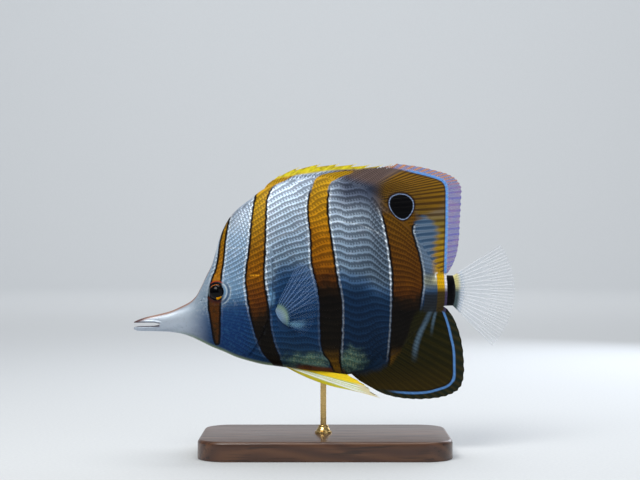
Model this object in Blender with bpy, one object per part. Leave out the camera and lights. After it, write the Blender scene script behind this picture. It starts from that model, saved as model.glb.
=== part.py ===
"""Copperband butterflyfish on a plain display stand, life size, swimming level with its head towards -X.

Sizes are millimetres. "Along" runs back from the tip of the lower jaw, "up" is above the body's axis,
and "side" is positive on the fish's right, away from the viewer. The origin is on the floor, below the
middle of the fish's length.
"""

import math

import bmesh
import bpy
from mathutils import Matrix, Vector

MM = 0.001
GAP = 0.3

TOTAL_LENGTH = 160.4
FIN_CLEARANCE = 14.0
LOWEST_FIN = 45.6

BASE_LENGTH = 104.0
BASE_WIDTH = 60.0
BASE_HEIGHT = 8.0
BASE_CORNER = 12.0
BASE_ARRIS = 1.4
ROD_RADIUS = 1.25
ROD_ALONG = 79.5
ROD_IN_BODY = 9.0
ROD_IN_BASE = 5.0
COLLAR_RADIUS = 3.6
COLLAR_HEIGHT = 3.2
AXIS_HEIGHT = BASE_HEIGHT + FIN_CLEARANCE + LOWEST_FIN

SNOUT_START = 11.0
SNOUT_END_BACK = 23.2
SNOUT_END_BELLY = 26.4
GILL_REARMOST = 58.4
GILL_LEAN_BACK = 8.8
GILL_LEAN_BELLY = 12.6
GILL_LIFT = 0.55
GILL_FLAP = 7.0
GILL_TOP_SHARE = 0.72
GILL_FADE_TOP = 0.12
GILL_FADE_LOW = 0.06
LIP_SWELL = 0.3
LIP_SHARE = 0.45
STALK_START = 130.8
STALK_END = 134.9
WIDEST_SHARE = 0.45

EYE_ALONG = 34.9
EYE_UP = -0.2
EYE_RADIUS = 3.5
EYE_DEPTH = 2.6
EYE_SUNK = 1.35
ORBIT_RADIUS = 3.75
ORBIT_THICK = 0.5
BROW_SWELL = 0.7
BROW_REACH = 5.0
NOSTRILS = ((30.2, -2.6, 0.5), (28.6, -3.9, 0.4))

# The body's outline without its fins, as (along, up).
BACK_LINE = (
    (0.0, -12.8), (1.7, -12.0), (5.0, -10.9), (10.1, -9.7), (15.1, -8.4), (19.3, -6.6),
    (23.5, -4.4), (26.0, -2.0), (28.1, 1.8), (30.2, 6.3), (32.6, 11.2), (34.2, 16.4),
    (35.6, 21.4), (37.3, 26.0), (40.3, 31.3), (44.5, 35.5), (48.7, 38.6), (53.8, 42.6),
    (61.7, 45.8), (69.7, 47.7), (78.1, 48.1), (86.5, 47.0), (94.9, 44.3), (103.3, 39.3),
    (111.7, 31.7), (120.1, 20.9), (126.8, 11.2), (130.6, 6.8), (135.2, 6.7),
)
BELLY_LINE = (
    (0.0, -16.2), (1.7, -16.9), (6.7, -17.0), (13.4, -17.2), (18.5, -17.8), (23.5, -19.2),
    (27.7, -21.1), (32.8, -23.6), (37.8, -25.6), (42.8, -27.8), (47.9, -29.4), (54.6, -31.0),
    (61.3, -31.9), (69.7, -33.1), (78.1, -34.3), (88.6, -35.2), (95.8, -34.2), (103.3, -31.2),
    (111.7, -25.0), (120.1, -15.9), (126.8, -8.9), (130.6, -6.4), (135.2, -6.3),
)
HALF_WIDTH = (
    (0.0, 0.8), (3.0, 1.5), (11.0, 2.4), (18.0, 3.2), (24.0, 4.5), (30.0, 5.9), (35.0, 7.0),
    (42.0, 8.6), (50.0, 9.9), (58.0, 10.6), (66.0, 10.8), (76.0, 10.4), (88.0, 9.2),
    (100.0, 7.2), (112.0, 5.0), (122.0, 3.5), (130.0, 2.6), (135.2, 2.3),
)
# Half the thickness of the ridge that the fins stand on, along the back and along the belly.
BACK_EDGE = ((0.0, 0.35), (20.0, 0.5), (46.0, 0.7), (54.0, 1.1), (128.0, 1.1), (132.0, 0.6))
BELLY_EDGE = (
    (0.0, 0.35), (20.0, 0.6), (40.0, 1.4), (56.0, 2.6), (78.0, 2.5), (92.0, 1.5),
    (104.0, 1.1), (128.0, 1.1), (132.0, 0.6),
)
# How the flank curves in towards those ridges: 0.5 is round, 1 is a lens's sharp edge.
BACK_ROUNDNESS = (
    (0.0, 0.5), (24.0, 0.55), (40.0, 0.62), (60.0, 0.82), (90.0, 1.0), (122.0, 1.0), (132.0, 0.55),
)
BELLY_ROUNDNESS = (
    (0.0, 0.5), (30.0, 0.52), (70.0, 0.56), (90.0, 0.8), (105.0, 1.0), (122.0, 1.0), (132.0, 0.55),
)
MOUTH_ROOF = ((0.0, -13.35), (8.0, -13.3), (11.0, -13.75))
MOUTH_FLOOR = ((0.0, -15.3), (2.0, -14.75), (8.0, -14.65), (11.0, -14.1))

# Fin rays as (along at the root, along at the tip, up at the tip, how far the middle bows downwards).
DORSAL_SPINES = (
    (53.9, 56.5, 45.2, 0.0), (57.1, 61.7, 49.1, 0.0), (61.7, 69.3, 52.2, 0.0),
    (68.5, 78.5, 53.6, 0.0), (74.8, 86.5, 53.7, 0.0), (80.6, 93.7, 53.6, 0.0),
    (86.1, 99.5, 53.3, 0.0), (90.7, 104.6, 53.2, 0.0), (94.9, 108.3, 53.4, 0.0),
)
DORSAL_RAYS = (
    (97.1, 110.3, 53.5, 0.0), (99.5, 119.3, 52.3, 0.0), (102.1, 126.8, 50.6, 0.0),
    (104.6, 132.3, 48.9, 0.0), (106.7, 135.9, 46.4, 0.0), (108.8, 137.6, 42.4, 0.0),
    (112.6, 137.3, 35.7, 0.0), (116.8, 136.9, 29.4, 0.0), (120.5, 136.6, 23.1, 0.0),
    (124.3, 135.9, 17.2, 0.0), (127.7, 134.2, 11.8, 0.0), (130.2, 132.0, 7.9, 0.0),
)
ANAL_SPINES = ((90.7, 94.5, -37.6, 0.0), (92.8, 99.5, -40.5, 0.0), (95.3, 104.6, -43.1, 0.0))
ANAL_RAYS = (
    (97.9, 110.0, -44.6, 0.0), (100.0, 115.1, -45.3, 0.0), (102.1, 120.1, -45.5, 0.0),
    (104.2, 125.2, -45.2, 0.0), (106.3, 129.8, -44.5, 0.0), (108.4, 133.6, -43.2, 0.0),
    (110.9, 136.5, -41.2, 0.0), (113.4, 138.2, -37.8, 0.0), (115.9, 138.7, -32.8, 0.0),
    (118.9, 138.4, -26.9, 0.0), (121.8, 137.6, -21.2, 0.0), (124.7, 136.1, -15.8, 0.0),
    (127.3, 134.2, -11.3, 0.0), (129.6, 131.6, -7.6, 0.0),
)
PELVIC_RAYS = (
    (62.8, 90.7, -41.6, 2.1), (64.0, 103.6, -44.4, -0.4), (65.4, 98.7, -41.3, 0.0),
    (66.8, 97.0, -40.0, 0.0), (68.2, 93.7, -38.5, 0.0), (69.7, 88.6, -36.7, 0.0),
)
PELVIC_NOTCHES = (0.7, 0.86, 0.92, 0.92, 0.92)
DORSAL_RAY_COUNT = 29
ANAL_RAY_COUNT = 20
TAIL_RAY_COUNT = 17
PECTORAL_RAY_COUNT = 14

TAIL_FAN_CENTRE = (127.7, 0.4)
TAIL_FAN_RADIUS = 32.7
TAIL_FAN_UP = 36.0
TAIL_FAN_DOWN = -46.0
TAIL_ROOT_HALF_HEIGHT = 6.1

PECTORAL_ROOT_TOP = (59.6, -6.8)
PECTORAL_ROOT_LOW = (64.3, -14.2)
PECTORAL_TIPS = (
    (68.5, 11.3), (71.0, 12.0), (73.6, 10.4), (75.5, 7.6), (76.7, 4.0), (77.3, 0.0),
    (77.3, -4.4), (76.7, -8.6), (75.4, -12.4), (73.7, -15.4), (71.4, -17.8),
)
PECTORAL_FLARE = 0.5
PECTORAL_STEP = 0.55
PELVIC_SIDE = 1.75
PELVIC_SPLAY_FIRST = 0.16
PELVIC_SPLAY_LAST = 0.05
PELVIC_LIFT_RIGHT = 2.0

FIN_ROOT_HALF = 1.0
TAIL_ROOT_HALF = 1.6
PECTORAL_ROOT_HALF = 1.3
PELVIC_ROOT_HALF = 0.75
MEMBRANE_HALF = 0.27
RAY_RIDGE = 0.2
SPINE_RIDGE = 0.34
RIDGE_TAPER = 0.6
FILLET_POWER = 2.5
# Where the fins' rows of corners lie, from the root at 0 to the rim at 1.
FIN_ROWS = (0.0, 0.1, 0.42, 1.0)
PELVIC_ROWS = (0.0, 0.12, 0.3, 0.53, 0.77, 1.0)
RIM_NOTCH = 0.985
SPINE_HALF_WIDTH = 0.35
SPINE_MEMBRANE_BEFORE = 0.94
SPINE_MEMBRANE_BEHIND = 0.78
SPINY_FIN_END = (96.4, 109.5, 53.5)

SILVER = ((0.72, 0.75, 0.78), 0.38, 0.0)
COPPER = ((0.80, 0.42, 0.06), 0.42, 0.0)
YELLOW = ((0.86, 0.68, 0.10), 0.42, 0.0)
OLIVE = ((0.36, 0.27, 0.06), 0.45, 0.0)
CLEAR = ((0.80, 0.84, 0.90), 0.35, 0.0)
EYE_BLACK = ((0.02, 0.02, 0.03), 0.08, 0.0)
WOOD = ((0.17, 0.09, 0.05), 0.40, 0.0)
BRASS = ((0.78, 0.60, 0.30), 0.28, 1.0)


def world(along, side, up):
    """A place on the fish, in metres in the model's frame."""
    return Vector(((along - TOTAL_LENGTH / 2) * MM, side * MM, (up + AXIS_HEIGHT) * MM))


def blend(first, second, share):
    return first + (second - first) * share


def ease(share):
    share = min(1.0, max(0.0, share))
    return share * share * (3 - 2 * share)


def smooth_curve(points):
    """A function through (x, y) points that doesn't overshoot between them."""
    xs = [point[0] for point in points]
    ys = [point[1] for point in points]
    steps = [b - a for a, b in zip(xs, xs[1:])]
    rises = [(b - a) / step for a, b, step in zip(ys, ys[1:], steps)]
    slopes = [rises[0]]
    for before, after in zip(rises, rises[1:]):
        slopes.append(2 * before * after / (before + after) if before * after > 0 else 0.0)
    slopes.append(rises[-1])

    def value(x):
        if x <= xs[0]:
            return ys[0]
        if x >= xs[-1]:
            return ys[-1]
        i = max(k for k in range(len(steps)) if xs[k] <= x)
        t = (x - xs[i]) / steps[i]
        lift = steps[i] * t * (1 - t)
        return blend(ys[i], ys[i + 1], ease(t)) + lift * (slopes[i] * (1 - t) - slopes[i + 1] * t)

    return value


back_line = smooth_curve(BACK_LINE)
belly_line = smooth_curve(BELLY_LINE)
half_width = smooth_curve(HALF_WIDTH)
back_edge = smooth_curve(BACK_EDGE)
belly_edge = smooth_curve(BELLY_EDGE)
back_roundness = smooth_curve(BACK_ROUNDNESS)
belly_roundness = smooth_curve(BELLY_ROUNDNESS)
mouth_roof = smooth_curve(MOUTH_ROOF)
mouth_floor = smooth_curve(MOUTH_FLOOR)


def share_of(along, up):
    """How far up the body a place is: 0 at the belly line and 1 at the back line."""
    low = belly_line(along)
    return min(1.0, max(0.0, (up - low) / (back_line(along) - low)))


def half_thickness(along, up):
    """Half the body's thickness, with the swelling round the eye."""
    share = share_of(along, up)
    if share > WIDEST_SHARE:
        reach = (share - WIDEST_SHARE) / (1 - WIDEST_SHARE)
        edge, power = back_edge(along), back_roundness(along)
    else:
        reach = (WIDEST_SHARE - share) / WIDEST_SHARE
        edge, power = belly_edge(along), belly_roundness(along)
    fullness = (1 - min(1.0, reach) ** 2) ** power
    from_eye = math.hypot(along - EYE_ALONG, up - EYE_UP) / BROW_REACH
    return edge + (half_width(along) - edge + BROW_SWELL * math.exp(-from_eye**2)) * fullness


def gill_edge(share):
    """Where the gill cover ends, as a place along, for a level on the flank."""
    if share > WIDEST_SHARE:
        return GILL_REARMOST - GILL_LEAN_BACK * ((share - WIDEST_SHARE) / (1 - WIDEST_SHARE)) ** 2
    return GILL_REARMOST - GILL_LEAN_BELLY * ((WIDEST_SHARE - share) / WIDEST_SHARE) ** 2


def gill_lift(along, share):
    """How far the gill cover's free rim stands proud of the flank behind it."""
    rim = ease((along - gill_edge(share) + GILL_FLAP) / GILL_FLAP)
    return GILL_LIFT * rim * ease((GILL_TOP_SHARE - share) / GILL_FADE_TOP) * ease(share / GILL_FADE_LOW)


def rounded_rows(share):
    """Rows set closer at the belly and the back, where the flank turns in."""
    return (1 - math.cos(math.pi * share)) / 2


def crowded_columns(share):
    """Columns set closer towards a piece's rear end, where the trunk narrows to the tail stalk."""
    return (share + math.sin(math.pi / 2 * share)) / 2


def finish_mesh(mesh, name, finish, collection):
    """Makes the bmesh an object with its own material."""
    colour, roughness, metallic = finish
    data = bpy.data.meshes.new(name)
    mesh.to_mesh(data)
    mesh.free()
    part = bpy.data.objects.new(name, data)
    collection.objects.link(part)
    material = bpy.data.materials.new(name)
    material.use_nodes = True
    shader = material.node_tree.nodes["Principled BSDF"]
    shader.inputs["Base Color"].default_value = (*colour, 1.0)
    shader.inputs["Roughness"].default_value = roughness
    shader.inputs["Metallic"].default_value = metallic
    data.materials.append(material)
    data.shade_smooth()
    data.set_sharp_from_angle(angle=math.radians(40))
    return part


def two_sided(name, columns, rows, place, finish, collection):
    """A closed piece between its two faces. place(column, row, face) gives a corner, face being -1 or 1."""
    mesh = bmesh.new()
    bmesh.ops.create_grid(mesh, x_segments=columns, y_segments=rows, size=0.5)
    bmesh.ops.triangulate(mesh, faces=mesh.faces[:], quad_method="FIXED")
    made = bmesh.ops.extrude_face_region(mesh, geom=mesh.faces[:])
    second = {item for item in made["geom"] if isinstance(item, bmesh.types.BMVert)}
    for corner in mesh.verts:
        column = round((corner.co.x + 0.5) * columns)
        row = round((corner.co.y + 0.5) * rows)
        corner.co = place(column, row, 1 if corner in second else -1)
    bmesh.ops.recalc_face_normals(mesh, faces=mesh.faces[:])
    return finish_mesh(mesh, name, finish, collection)


def body_outline(along):
    return belly_line(along), back_line(along)


def no_lift(along, share):
    return 0.0


def body_piece(name, columns, rows, span, collection, line=body_outline, lift=no_lift):
    """A length of the body. span(share) gives its front and rear ends, line(along) its lowest and highest."""

    def place(column, row, face):
        share = rounded_rows(row / rows)
        front, rear = span(share)
        along = blend(front, rear, crowded_columns(column / columns))
        low, high = line(along)
        up = blend(low, high, share)
        half = half_thickness(along, up) + lift(along, share)
        return world(along, face * half, up)

    return two_sided(name, columns, rows, place, SILVER, collection)


def snout_rear(share):
    return blend(SNOUT_END_BELLY, SNOUT_END_BACK, share)


def add_cutter(name, cutters):
    """The object that the last primitive made, kept out of the render and in the cutters' collection."""
    cutter = bpy.context.object
    cutter.name = name
    cutter.data.name = name
    for collection in cutter.users_collection:
        collection.objects.unlink(cutter)
    cutters.objects.link(cutter)
    cutter.hide_render = True
    cutter.display_type = "WIRE"
    return cutter


def cut(part, cutter):
    modifier = part.modifiers.new(cutter.name, "BOOLEAN")
    modifier.operation = "DIFFERENCE"
    modifier.object = cutter
    modifier.solver = "EXACT"


def flank_normal(along, up):
    """The flank's outward direction on the right side."""
    step = 0.5
    slope_along = (half_thickness(along + step, up) - half_thickness(along - step, up)) / (2 * step)
    slope_up = (half_thickness(along, up + step) - half_thickness(along, up - step)) / (2 * step)
    return Vector((-slope_along, 1.0, -slope_up)).normalized()


def eye_matrix(face):
    """The eyeball's place and tilt on one side of the head."""
    normal = flank_normal(EYE_ALONG, EYE_UP)
    normal.y *= face
    side = face * (half_thickness(EYE_ALONG, EYE_UP) - EYE_SUNK)
    turn = normal.to_track_quat("Z", "Y").to_matrix().to_4x4()
    return Matrix.Translation(world(EYE_ALONG, side, EYE_UP)) @ turn


def make_eye(name, face, collection):
    mesh = bmesh.new()
    shape = eye_matrix(face) @ Matrix.Diagonal((EYE_RADIUS * MM, EYE_RADIUS * MM, EYE_DEPTH * MM, 1.0))
    bmesh.ops.create_uvsphere(mesh, u_segments=18, v_segments=10, radius=1.0, matrix=shape)
    return finish_mesh(mesh, name, EYE_BLACK, collection)


def make_head(collection, cutters):
    """The head, with a raised rim round each eye's socket, nostrils and the gill covers' rear rims."""
    head = body_piece(
        "head", 22, 18,
        lambda share: (snout_rear(share) + GAP, gill_edge(share) - GAP / 2), collection, lift=gill_lift,
    )
    for face, side in ((-1, "left"), (1, "right")):
        place = eye_matrix(face)
        bpy.ops.mesh.primitive_torus_add(
            major_segments=24, minor_segments=6, major_radius=ORBIT_RADIUS * MM, minor_radius=ORBIT_THICK * MM
        )
        rim = add_cutter(f"orbit_rim_{side}", cutters)
        rim.data.transform(place @ Matrix.Translation((0.0, 0.0, (EYE_SUNK - 0.15) * MM)))
        join = head.modifiers.new(rim.name, "BOOLEAN")
        join.operation = "UNION"
        join.object = rim
        bpy.ops.mesh.primitive_uv_sphere_add(segments=18, ring_count=10, radius=1.0)
        socket = add_cutter(f"eye_socket_{side}", cutters)
        wide, deep = (EYE_RADIUS + GAP) * MM, (EYE_DEPTH + GAP) * MM
        socket.data.transform(place @ Matrix.Diagonal((wide, wide, deep, 1.0)))
        cut(head, socket)
        for number, (along, up, radius) in enumerate(NOSTRILS, 1):
            bpy.ops.mesh.primitive_uv_sphere_add(segments=8, ring_count=6, radius=radius * MM)
            nostril = add_cutter(f"nostril_{side}_{number}", cutters)
            nostril.data.transform(Matrix.Translation(world(along, face * half_thickness(along, up), up)))
            cut(head, nostril)
    return head


def make_jaws(collection):
    """The two jaws of the parted mouth, each with a lip swelling along its edge."""
    body_piece(
        "upper_jaw", 8, 6, lambda share: (0.0, SNOUT_START - GAP), collection,
        line=lambda along: (mouth_roof(along), back_line(along)),
        lift=lambda along, share: LIP_SWELL * ease(1 - share / LIP_SHARE),
    )
    body_piece(
        "lower_jaw", 8, 6, lambda share: (0.0, SNOUT_START - GAP), collection,
        line=lambda along: (belly_line(along), mouth_floor(along)),
        lift=lambda along, share: LIP_SWELL * ease(1 - (1 - share) / LIP_SHARE),
    )


def make_body(collection, cutters):
    """Snout, jaws, head, trunk and tail stalk, parted by thin gaps."""
    make_jaws(collection)
    body_piece("snout", 8, 12, lambda share: (SNOUT_START, snout_rear(share)), collection)
    make_head(collection, cutters)
    trunk = body_piece("trunk", 30, 18, lambda share: (gill_edge(share) + GAP, STALK_START - GAP), collection)
    body_piece("tail_stalk", 2, 12, lambda share: (STALK_START, STALK_END), collection)

    foot = world(ROD_ALONG, 0.0, belly_line(ROD_ALONG))
    depth = (ROD_IN_BODY + GAP) * MM
    overrun = 4.0 * MM
    bpy.ops.mesh.primitive_cylinder_add(
        vertices=16, radius=(ROD_RADIUS + GAP) * MM, depth=depth + overrun,
        location=foot + Vector((0.0, 0.0, (depth - overrun) / 2)),
    )
    cut(trunk, add_cutter("rod_hole", cutters))


def ray_curve(keys, column):
    """One of the numbers of the rays' keys, as a smooth function of the place along the fin, 0 to 1."""
    last = len(keys) - 1
    return smooth_curve([(i / last, key[column]) for i, key in enumerate(keys)])


def fin_columns(count):
    """For each column of the fin, its place from 0 to 1 and whether it is a ray's crest."""
    last = 2 * count - 2
    return [(number / last, number % 2 == 0) for number in range(last + 1)]


def ridge_root(line, along, outward):
    """A place a thin gap outside the body's outline, for a fin's root. outward is 1 on the back, -1 below."""
    slope = (line(along + 0.4) - line(along - 0.4)) / 0.8
    length = math.hypot(1.0, slope)
    return along - outward * slope / length * GAP, line(along) + outward / length * GAP


def fin_half(out, crest, root_half, ridge):
    """Half a fin's thickness, from its root at out 0 to its rim at out 1."""
    fillet = (root_half - MEMBRANE_HALF) * (1 - out) ** FILLET_POWER
    return MEMBRANE_HALF + fillet + (ridge * (1 - RIDGE_TAPER * out) if crest else 0.0)


def median_fin(name, keys, count, root, finish, collection):
    """A fin in the middle plane, its rays raised on both faces. root(along) gives a point on its root."""
    columns = fin_columns(count)
    curves = [ray_curve(keys, number) for number in range(3)]

    def place(column, row, face):
        where, crest = columns[column]
        out = FIN_ROWS[row] * (1.0 if crest else RIM_NOTCH)
        start = root(curves[0](where))
        along = blend(start[0], curves[1](where), out)
        up = blend(start[1], curves[2](where), out)
        return world(along, face * fin_half(out, crest, FIN_ROOT_HALF, RAY_RIDGE), up)

    return two_sided(name, len(columns) - 1, len(FIN_ROWS) - 1, place, finish, collection)


def make_dorsal_spines(collection):
    """The spiny front of the back fin: each spine's tip stands clear of the membrane behind it."""
    columns = []
    for root, tip, up, _ in DORSAL_SPINES:
        for offset, reach in (
            (-SPINE_HALF_WIDTH, SPINE_MEMBRANE_BEFORE), (0.0, 1.0), (SPINE_HALF_WIDTH, SPINE_MEMBRANE_BEHIND)
        ):
            columns.append((root + offset, tip + offset / 2, up, reach))
    columns.append((*SPINY_FIN_END, 1.0))

    def place(column, row, face):
        root, tip_along, tip_up, reach = columns[column]
        out = FIN_ROWS[row] * reach
        start = ridge_root(back_line, root, 1)
        along = blend(start[0], tip_along, out)
        up = blend(start[1], tip_up, out)
        return world(along, face * fin_half(out, column % 3 == 1, FIN_ROOT_HALF, SPINE_RIDGE), up)

    return two_sided("dorsal_fin_spines", len(columns) - 1, len(FIN_ROWS) - 1, place, YELLOW, collection)


def make_median_fins(collection):
    make_dorsal_spines(collection)
    median_fin(
        "dorsal_fin_soft", DORSAL_RAYS, DORSAL_RAY_COUNT,
        lambda along: ridge_root(back_line, along, 1), COPPER, collection,
    )
    median_fin(
        "anal_fin", ANAL_SPINES + ANAL_RAYS, ANAL_RAY_COUNT + len(ANAL_SPINES),
        lambda along: ridge_root(belly_line, along, -1), OLIVE, collection,
    )
    make_tail_fin(collection)


def make_tail_fin(collection):
    """The tail fin, a fan of rays from the end of the tail stalk."""
    columns = fin_columns(TAIL_RAY_COUNT)
    centre_along, centre_up = TAIL_FAN_CENTRE

    def place(column, row, face):
        where, crest = columns[column]
        out = FIN_ROWS[row] * (1.0 if crest else RIM_NOTCH)
        turn = math.radians(blend(TAIL_FAN_UP, TAIL_FAN_DOWN, where))
        root_up = blend(TAIL_ROOT_HALF_HEIGHT, -TAIL_ROOT_HALF_HEIGHT + 0.4, where)
        along = blend(STALK_END + GAP, centre_along + TAIL_FAN_RADIUS * math.cos(turn), out)
        up = blend(root_up, centre_up + TAIL_FAN_RADIUS * math.sin(turn), out)
        fullness = math.sqrt(max(0.0, 1 - (2 * where - 1) ** 2))
        root_half = MEMBRANE_HALF + (TAIL_ROOT_HALF - MEMBRANE_HALF) * fullness
        return world(along, face * fin_half(out, crest, root_half, RAY_RIDGE), up)

    return two_sided("tail_fin", len(columns) - 1, len(FIN_ROWS) - 1, place, CLEAR, collection)


def make_pectoral_fin(name, face_side, collection):
    """A breast fin: a fan that stands off the flank, on a fleshy root that lies on it."""
    columns = fin_columns(PECTORAL_RAY_COUNT)
    tips = [(0.0, *tip) for tip in PECTORAL_TIPS]
    tip_along, tip_up = ray_curve(tips, 1), ray_curve(tips, 2)

    def place(column, row, face):
        where, crest = columns[column]
        out = FIN_ROWS[row] * (1.0 if crest else RIM_NOTCH)
        root_along = blend(PECTORAL_ROOT_TOP[0], PECTORAL_ROOT_LOW[0], where)
        root_up = blend(PECTORAL_ROOT_TOP[1], PECTORAL_ROOT_LOW[1], where)
        along = blend(root_along, tip_along(where), out)
        up = blend(root_up, tip_up(where), out)
        reach = math.hypot(along - root_along, up - root_up)
        if row == 0:
            along -= face * PECTORAL_ROOT_HALF
            return world(along, face_side * (half_thickness(along, up) + GAP), up)
        half = fin_half(out, crest, PECTORAL_ROOT_HALF, RAY_RIDGE)
        stand_off = half_thickness(root_along, root_up) + GAP + PECTORAL_STEP + PECTORAL_FLARE * reach
        return world(along, face_side * (stand_off + face * half), up)

    return two_sided(name, len(columns) - 1, len(FIN_ROWS) - 1, place, CLEAR, collection)


def make_pelvic_fin(name, face_side, lift, collection):
    """A belly fin: a spine and five soft rays swept back, the first ray drawn out into a thread."""
    last = 2 * len(PELVIC_RAYS) - 2
    curves = [ray_curve(PELVIC_RAYS, number) for number in range(4)]
    turn = math.radians(lift)

    def place(column, row, face):
        where, crest = column / last, column % 2 == 0
        out = PELVIC_ROWS[row] * (1.0 if crest else PELVIC_NOTCHES[column // 2])
        root, tip_along, tip_up, bow = (curve(where) for curve in curves)
        start = ridge_root(belly_line, root, -1)
        run, drop = tip_along - start[0], tip_up - start[1]
        run, drop = run * math.cos(turn) - drop * math.sin(turn), run * math.sin(turn) + drop * math.cos(turn)
        along = start[0] + run * out
        up = start[1] + drop * out - bow * 4 * out * (1 - out)
        splay = blend(PELVIC_SPLAY_FIRST, PELVIC_SPLAY_LAST, where)
        side = face_side * (PELVIC_SIDE + splay * (along - start[0]))
        half = fin_half(out, crest, PELVIC_ROOT_HALF, RAY_RIDGE)
        return world(along, side + face * half, up)

    return two_sided(name, last, len(PELVIC_ROWS) - 1, place, YELLOW, collection)


def make_paired_fins(collection):
    for face, side, lift in ((-1, "left", 0.0), (1, "right", PELVIC_LIFT_RIGHT)):
        make_pectoral_fin(f"pectoral_fin_{side}", face, collection)
        make_pelvic_fin(f"pelvic_fin_{side}", face, lift, collection)


def make_stand(collection, cutters):
    """A flat wooden base, a brass rod up into the belly and a turned collar at its foot."""
    rod_x = world(ROD_ALONG, 0.0, 0.0).x
    base = bmesh.new()
    size = Matrix.Diagonal((BASE_LENGTH * MM, BASE_WIDTH * MM, BASE_HEIGHT * MM, 1.0))
    bmesh.ops.create_cube(base, size=1.0, matrix=Matrix.Translation((0.0, 0.0, BASE_HEIGHT * MM / 2)) @ size)
    uprights = [edge for edge in base.edges if abs(edge.verts[0].co.z - edge.verts[1].co.z) > MM]
    bmesh.ops.bevel(base, geom=uprights, offset=BASE_CORNER * MM, segments=6, profile=0.5, affect="EDGES")
    top = BASE_HEIGHT * MM * 0.99
    rim = [edge for edge in base.edges if min(corner.co.z for corner in edge.verts) > top]
    bmesh.ops.bevel(base, geom=rim, offset=BASE_ARRIS * MM, segments=2, profile=0.5, affect="EDGES")
    board = finish_mesh(base, "stand_base", WOOD, collection)
    hole_depth = (ROD_IN_BASE + GAP) * MM
    bpy.ops.mesh.primitive_cylinder_add(
        vertices=16, radius=(ROD_RADIUS + GAP) * MM, depth=hole_depth * 2,
        location=(rod_x, 0.0, BASE_HEIGHT * MM),
    )
    cut(board, add_cutter("base_hole", cutters))

    rod = bmesh.new()
    low = (BASE_HEIGHT - ROD_IN_BASE) * MM
    high = world(ROD_ALONG, 0.0, belly_line(ROD_ALONG) + ROD_IN_BODY).z
    bmesh.ops.create_cone(
        rod, cap_ends=True, segments=16, radius1=ROD_RADIUS * MM, radius2=ROD_RADIUS * MM,
        depth=high - low, matrix=Matrix.Translation((rod_x, 0.0, (low + high) / 2)),
    )
    finish_mesh(rod, "stand_rod", BRASS, collection)

    inner = (ROD_RADIUS + GAP) * MM
    outer, tall = COLLAR_RADIUS * MM, COLLAR_HEIGHT * MM
    foot = (BASE_HEIGHT + GAP) * MM
    profile = (
        (inner, foot + tall), (inner + 0.5 * MM, foot + tall), (outer - 0.9 * MM, foot + tall * 0.45),
        (outer, foot + tall * 0.3), (outer, foot), (inner, foot),
    )
    collar = bmesh.new()
    ring = [collar.verts.new((radius, 0.0, height)) for radius, height in profile]
    edges = [collar.edges.new((a, b)) for a, b in zip(ring, ring[1:] + ring[:1])]
    bmesh.ops.spin(
        collar, geom=ring + edges, cent=(0.0, 0.0, 0.0), axis=(0.0, 0.0, 1.0), angle=math.tau, steps=24,
        use_merge=True, use_duplicate=False,
    )
    bmesh.ops.remove_doubles(collar, verts=collar.verts[:], dist=0.01 * MM)
    bmesh.ops.translate(collar, verts=collar.verts[:], vec=(rod_x, 0.0, 0.0))
    bmesh.ops.recalc_face_normals(collar, faces=collar.faces[:])
    finish_mesh(collar, "stand_collar", BRASS, collection)


def main():
    for old in list(bpy.data.objects):
        bpy.data.objects.remove(old, do_unlink=True)
    fish = bpy.data.collections.new("copperband_butterflyfish")
    cutters = bpy.data.collections.new("cutters")
    bpy.context.scene.collection.children.link(fish)
    bpy.context.scene.collection.children.link(cutters)
    make_body(fish, cutters)
    for face, side in ((-1, "left"), (1, "right")):
        make_eye(f"eye_{side}", face, fish)
    make_median_fins(fish)
    make_paired_fins(fish)
    make_stand(fish, cutters)


main()
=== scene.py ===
"""Looks of the copperband butterflyfish on its stand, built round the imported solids.

Sizes are millimetres. "Along" runs back from the tip of the lower jaw, "up" is above the body's axis and
"side" is positive on the fish's right. The camera looks along +Y at its left side. Colours are written as a
screen shows them and made linear where they are used.
"""

import functools
import logging
import math
from dataclasses import dataclass
from enum import Enum
from typing import Callable, Iterable, Sequence

import bmesh
import bpy
import numpy as np
from bmesh.types import BMEdge, BMesh, BMFace, BMVert
from bpy.types import ID, Material, Mesh, NodeSocket, NodeTree, Object
from mathutils import Matrix, Vector

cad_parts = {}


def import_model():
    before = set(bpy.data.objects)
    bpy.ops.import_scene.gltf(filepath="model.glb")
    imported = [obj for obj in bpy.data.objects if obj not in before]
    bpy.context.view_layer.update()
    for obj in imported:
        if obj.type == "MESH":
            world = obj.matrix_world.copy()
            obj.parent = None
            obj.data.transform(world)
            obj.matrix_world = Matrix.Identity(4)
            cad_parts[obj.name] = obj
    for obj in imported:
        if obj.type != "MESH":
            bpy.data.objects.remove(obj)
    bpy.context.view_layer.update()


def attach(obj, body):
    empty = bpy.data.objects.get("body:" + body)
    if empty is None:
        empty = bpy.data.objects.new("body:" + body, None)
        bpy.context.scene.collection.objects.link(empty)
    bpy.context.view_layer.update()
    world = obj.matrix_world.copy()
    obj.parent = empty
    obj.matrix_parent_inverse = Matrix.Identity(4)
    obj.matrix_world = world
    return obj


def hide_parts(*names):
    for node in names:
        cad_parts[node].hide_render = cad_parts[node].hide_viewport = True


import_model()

LOG = logging.getLogger("copperband")
BODY = "root"
MM = 0.001
TOTAL_LENGTH = 160.4
AXIS_HEIGHT = 67.6

SIDES = ((-1.0, "left"), (1.0, "right"))
# The scales' unwrap: the millimetres of body and of fin that fill it, its margin and one scale's patch.
UNWRAP_ALONG = 170.0
UNWRAP_FIN = 130.0
UNWRAP_MARGIN = 0.03
PATCH = 0.003

Array = np.ndarray
Place = tuple[float, float, float]
Points = Sequence[tuple[float, ...]]
Colour = tuple[int, int, int]
Stops = Sequence[tuple[float, Colour]]

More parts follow.
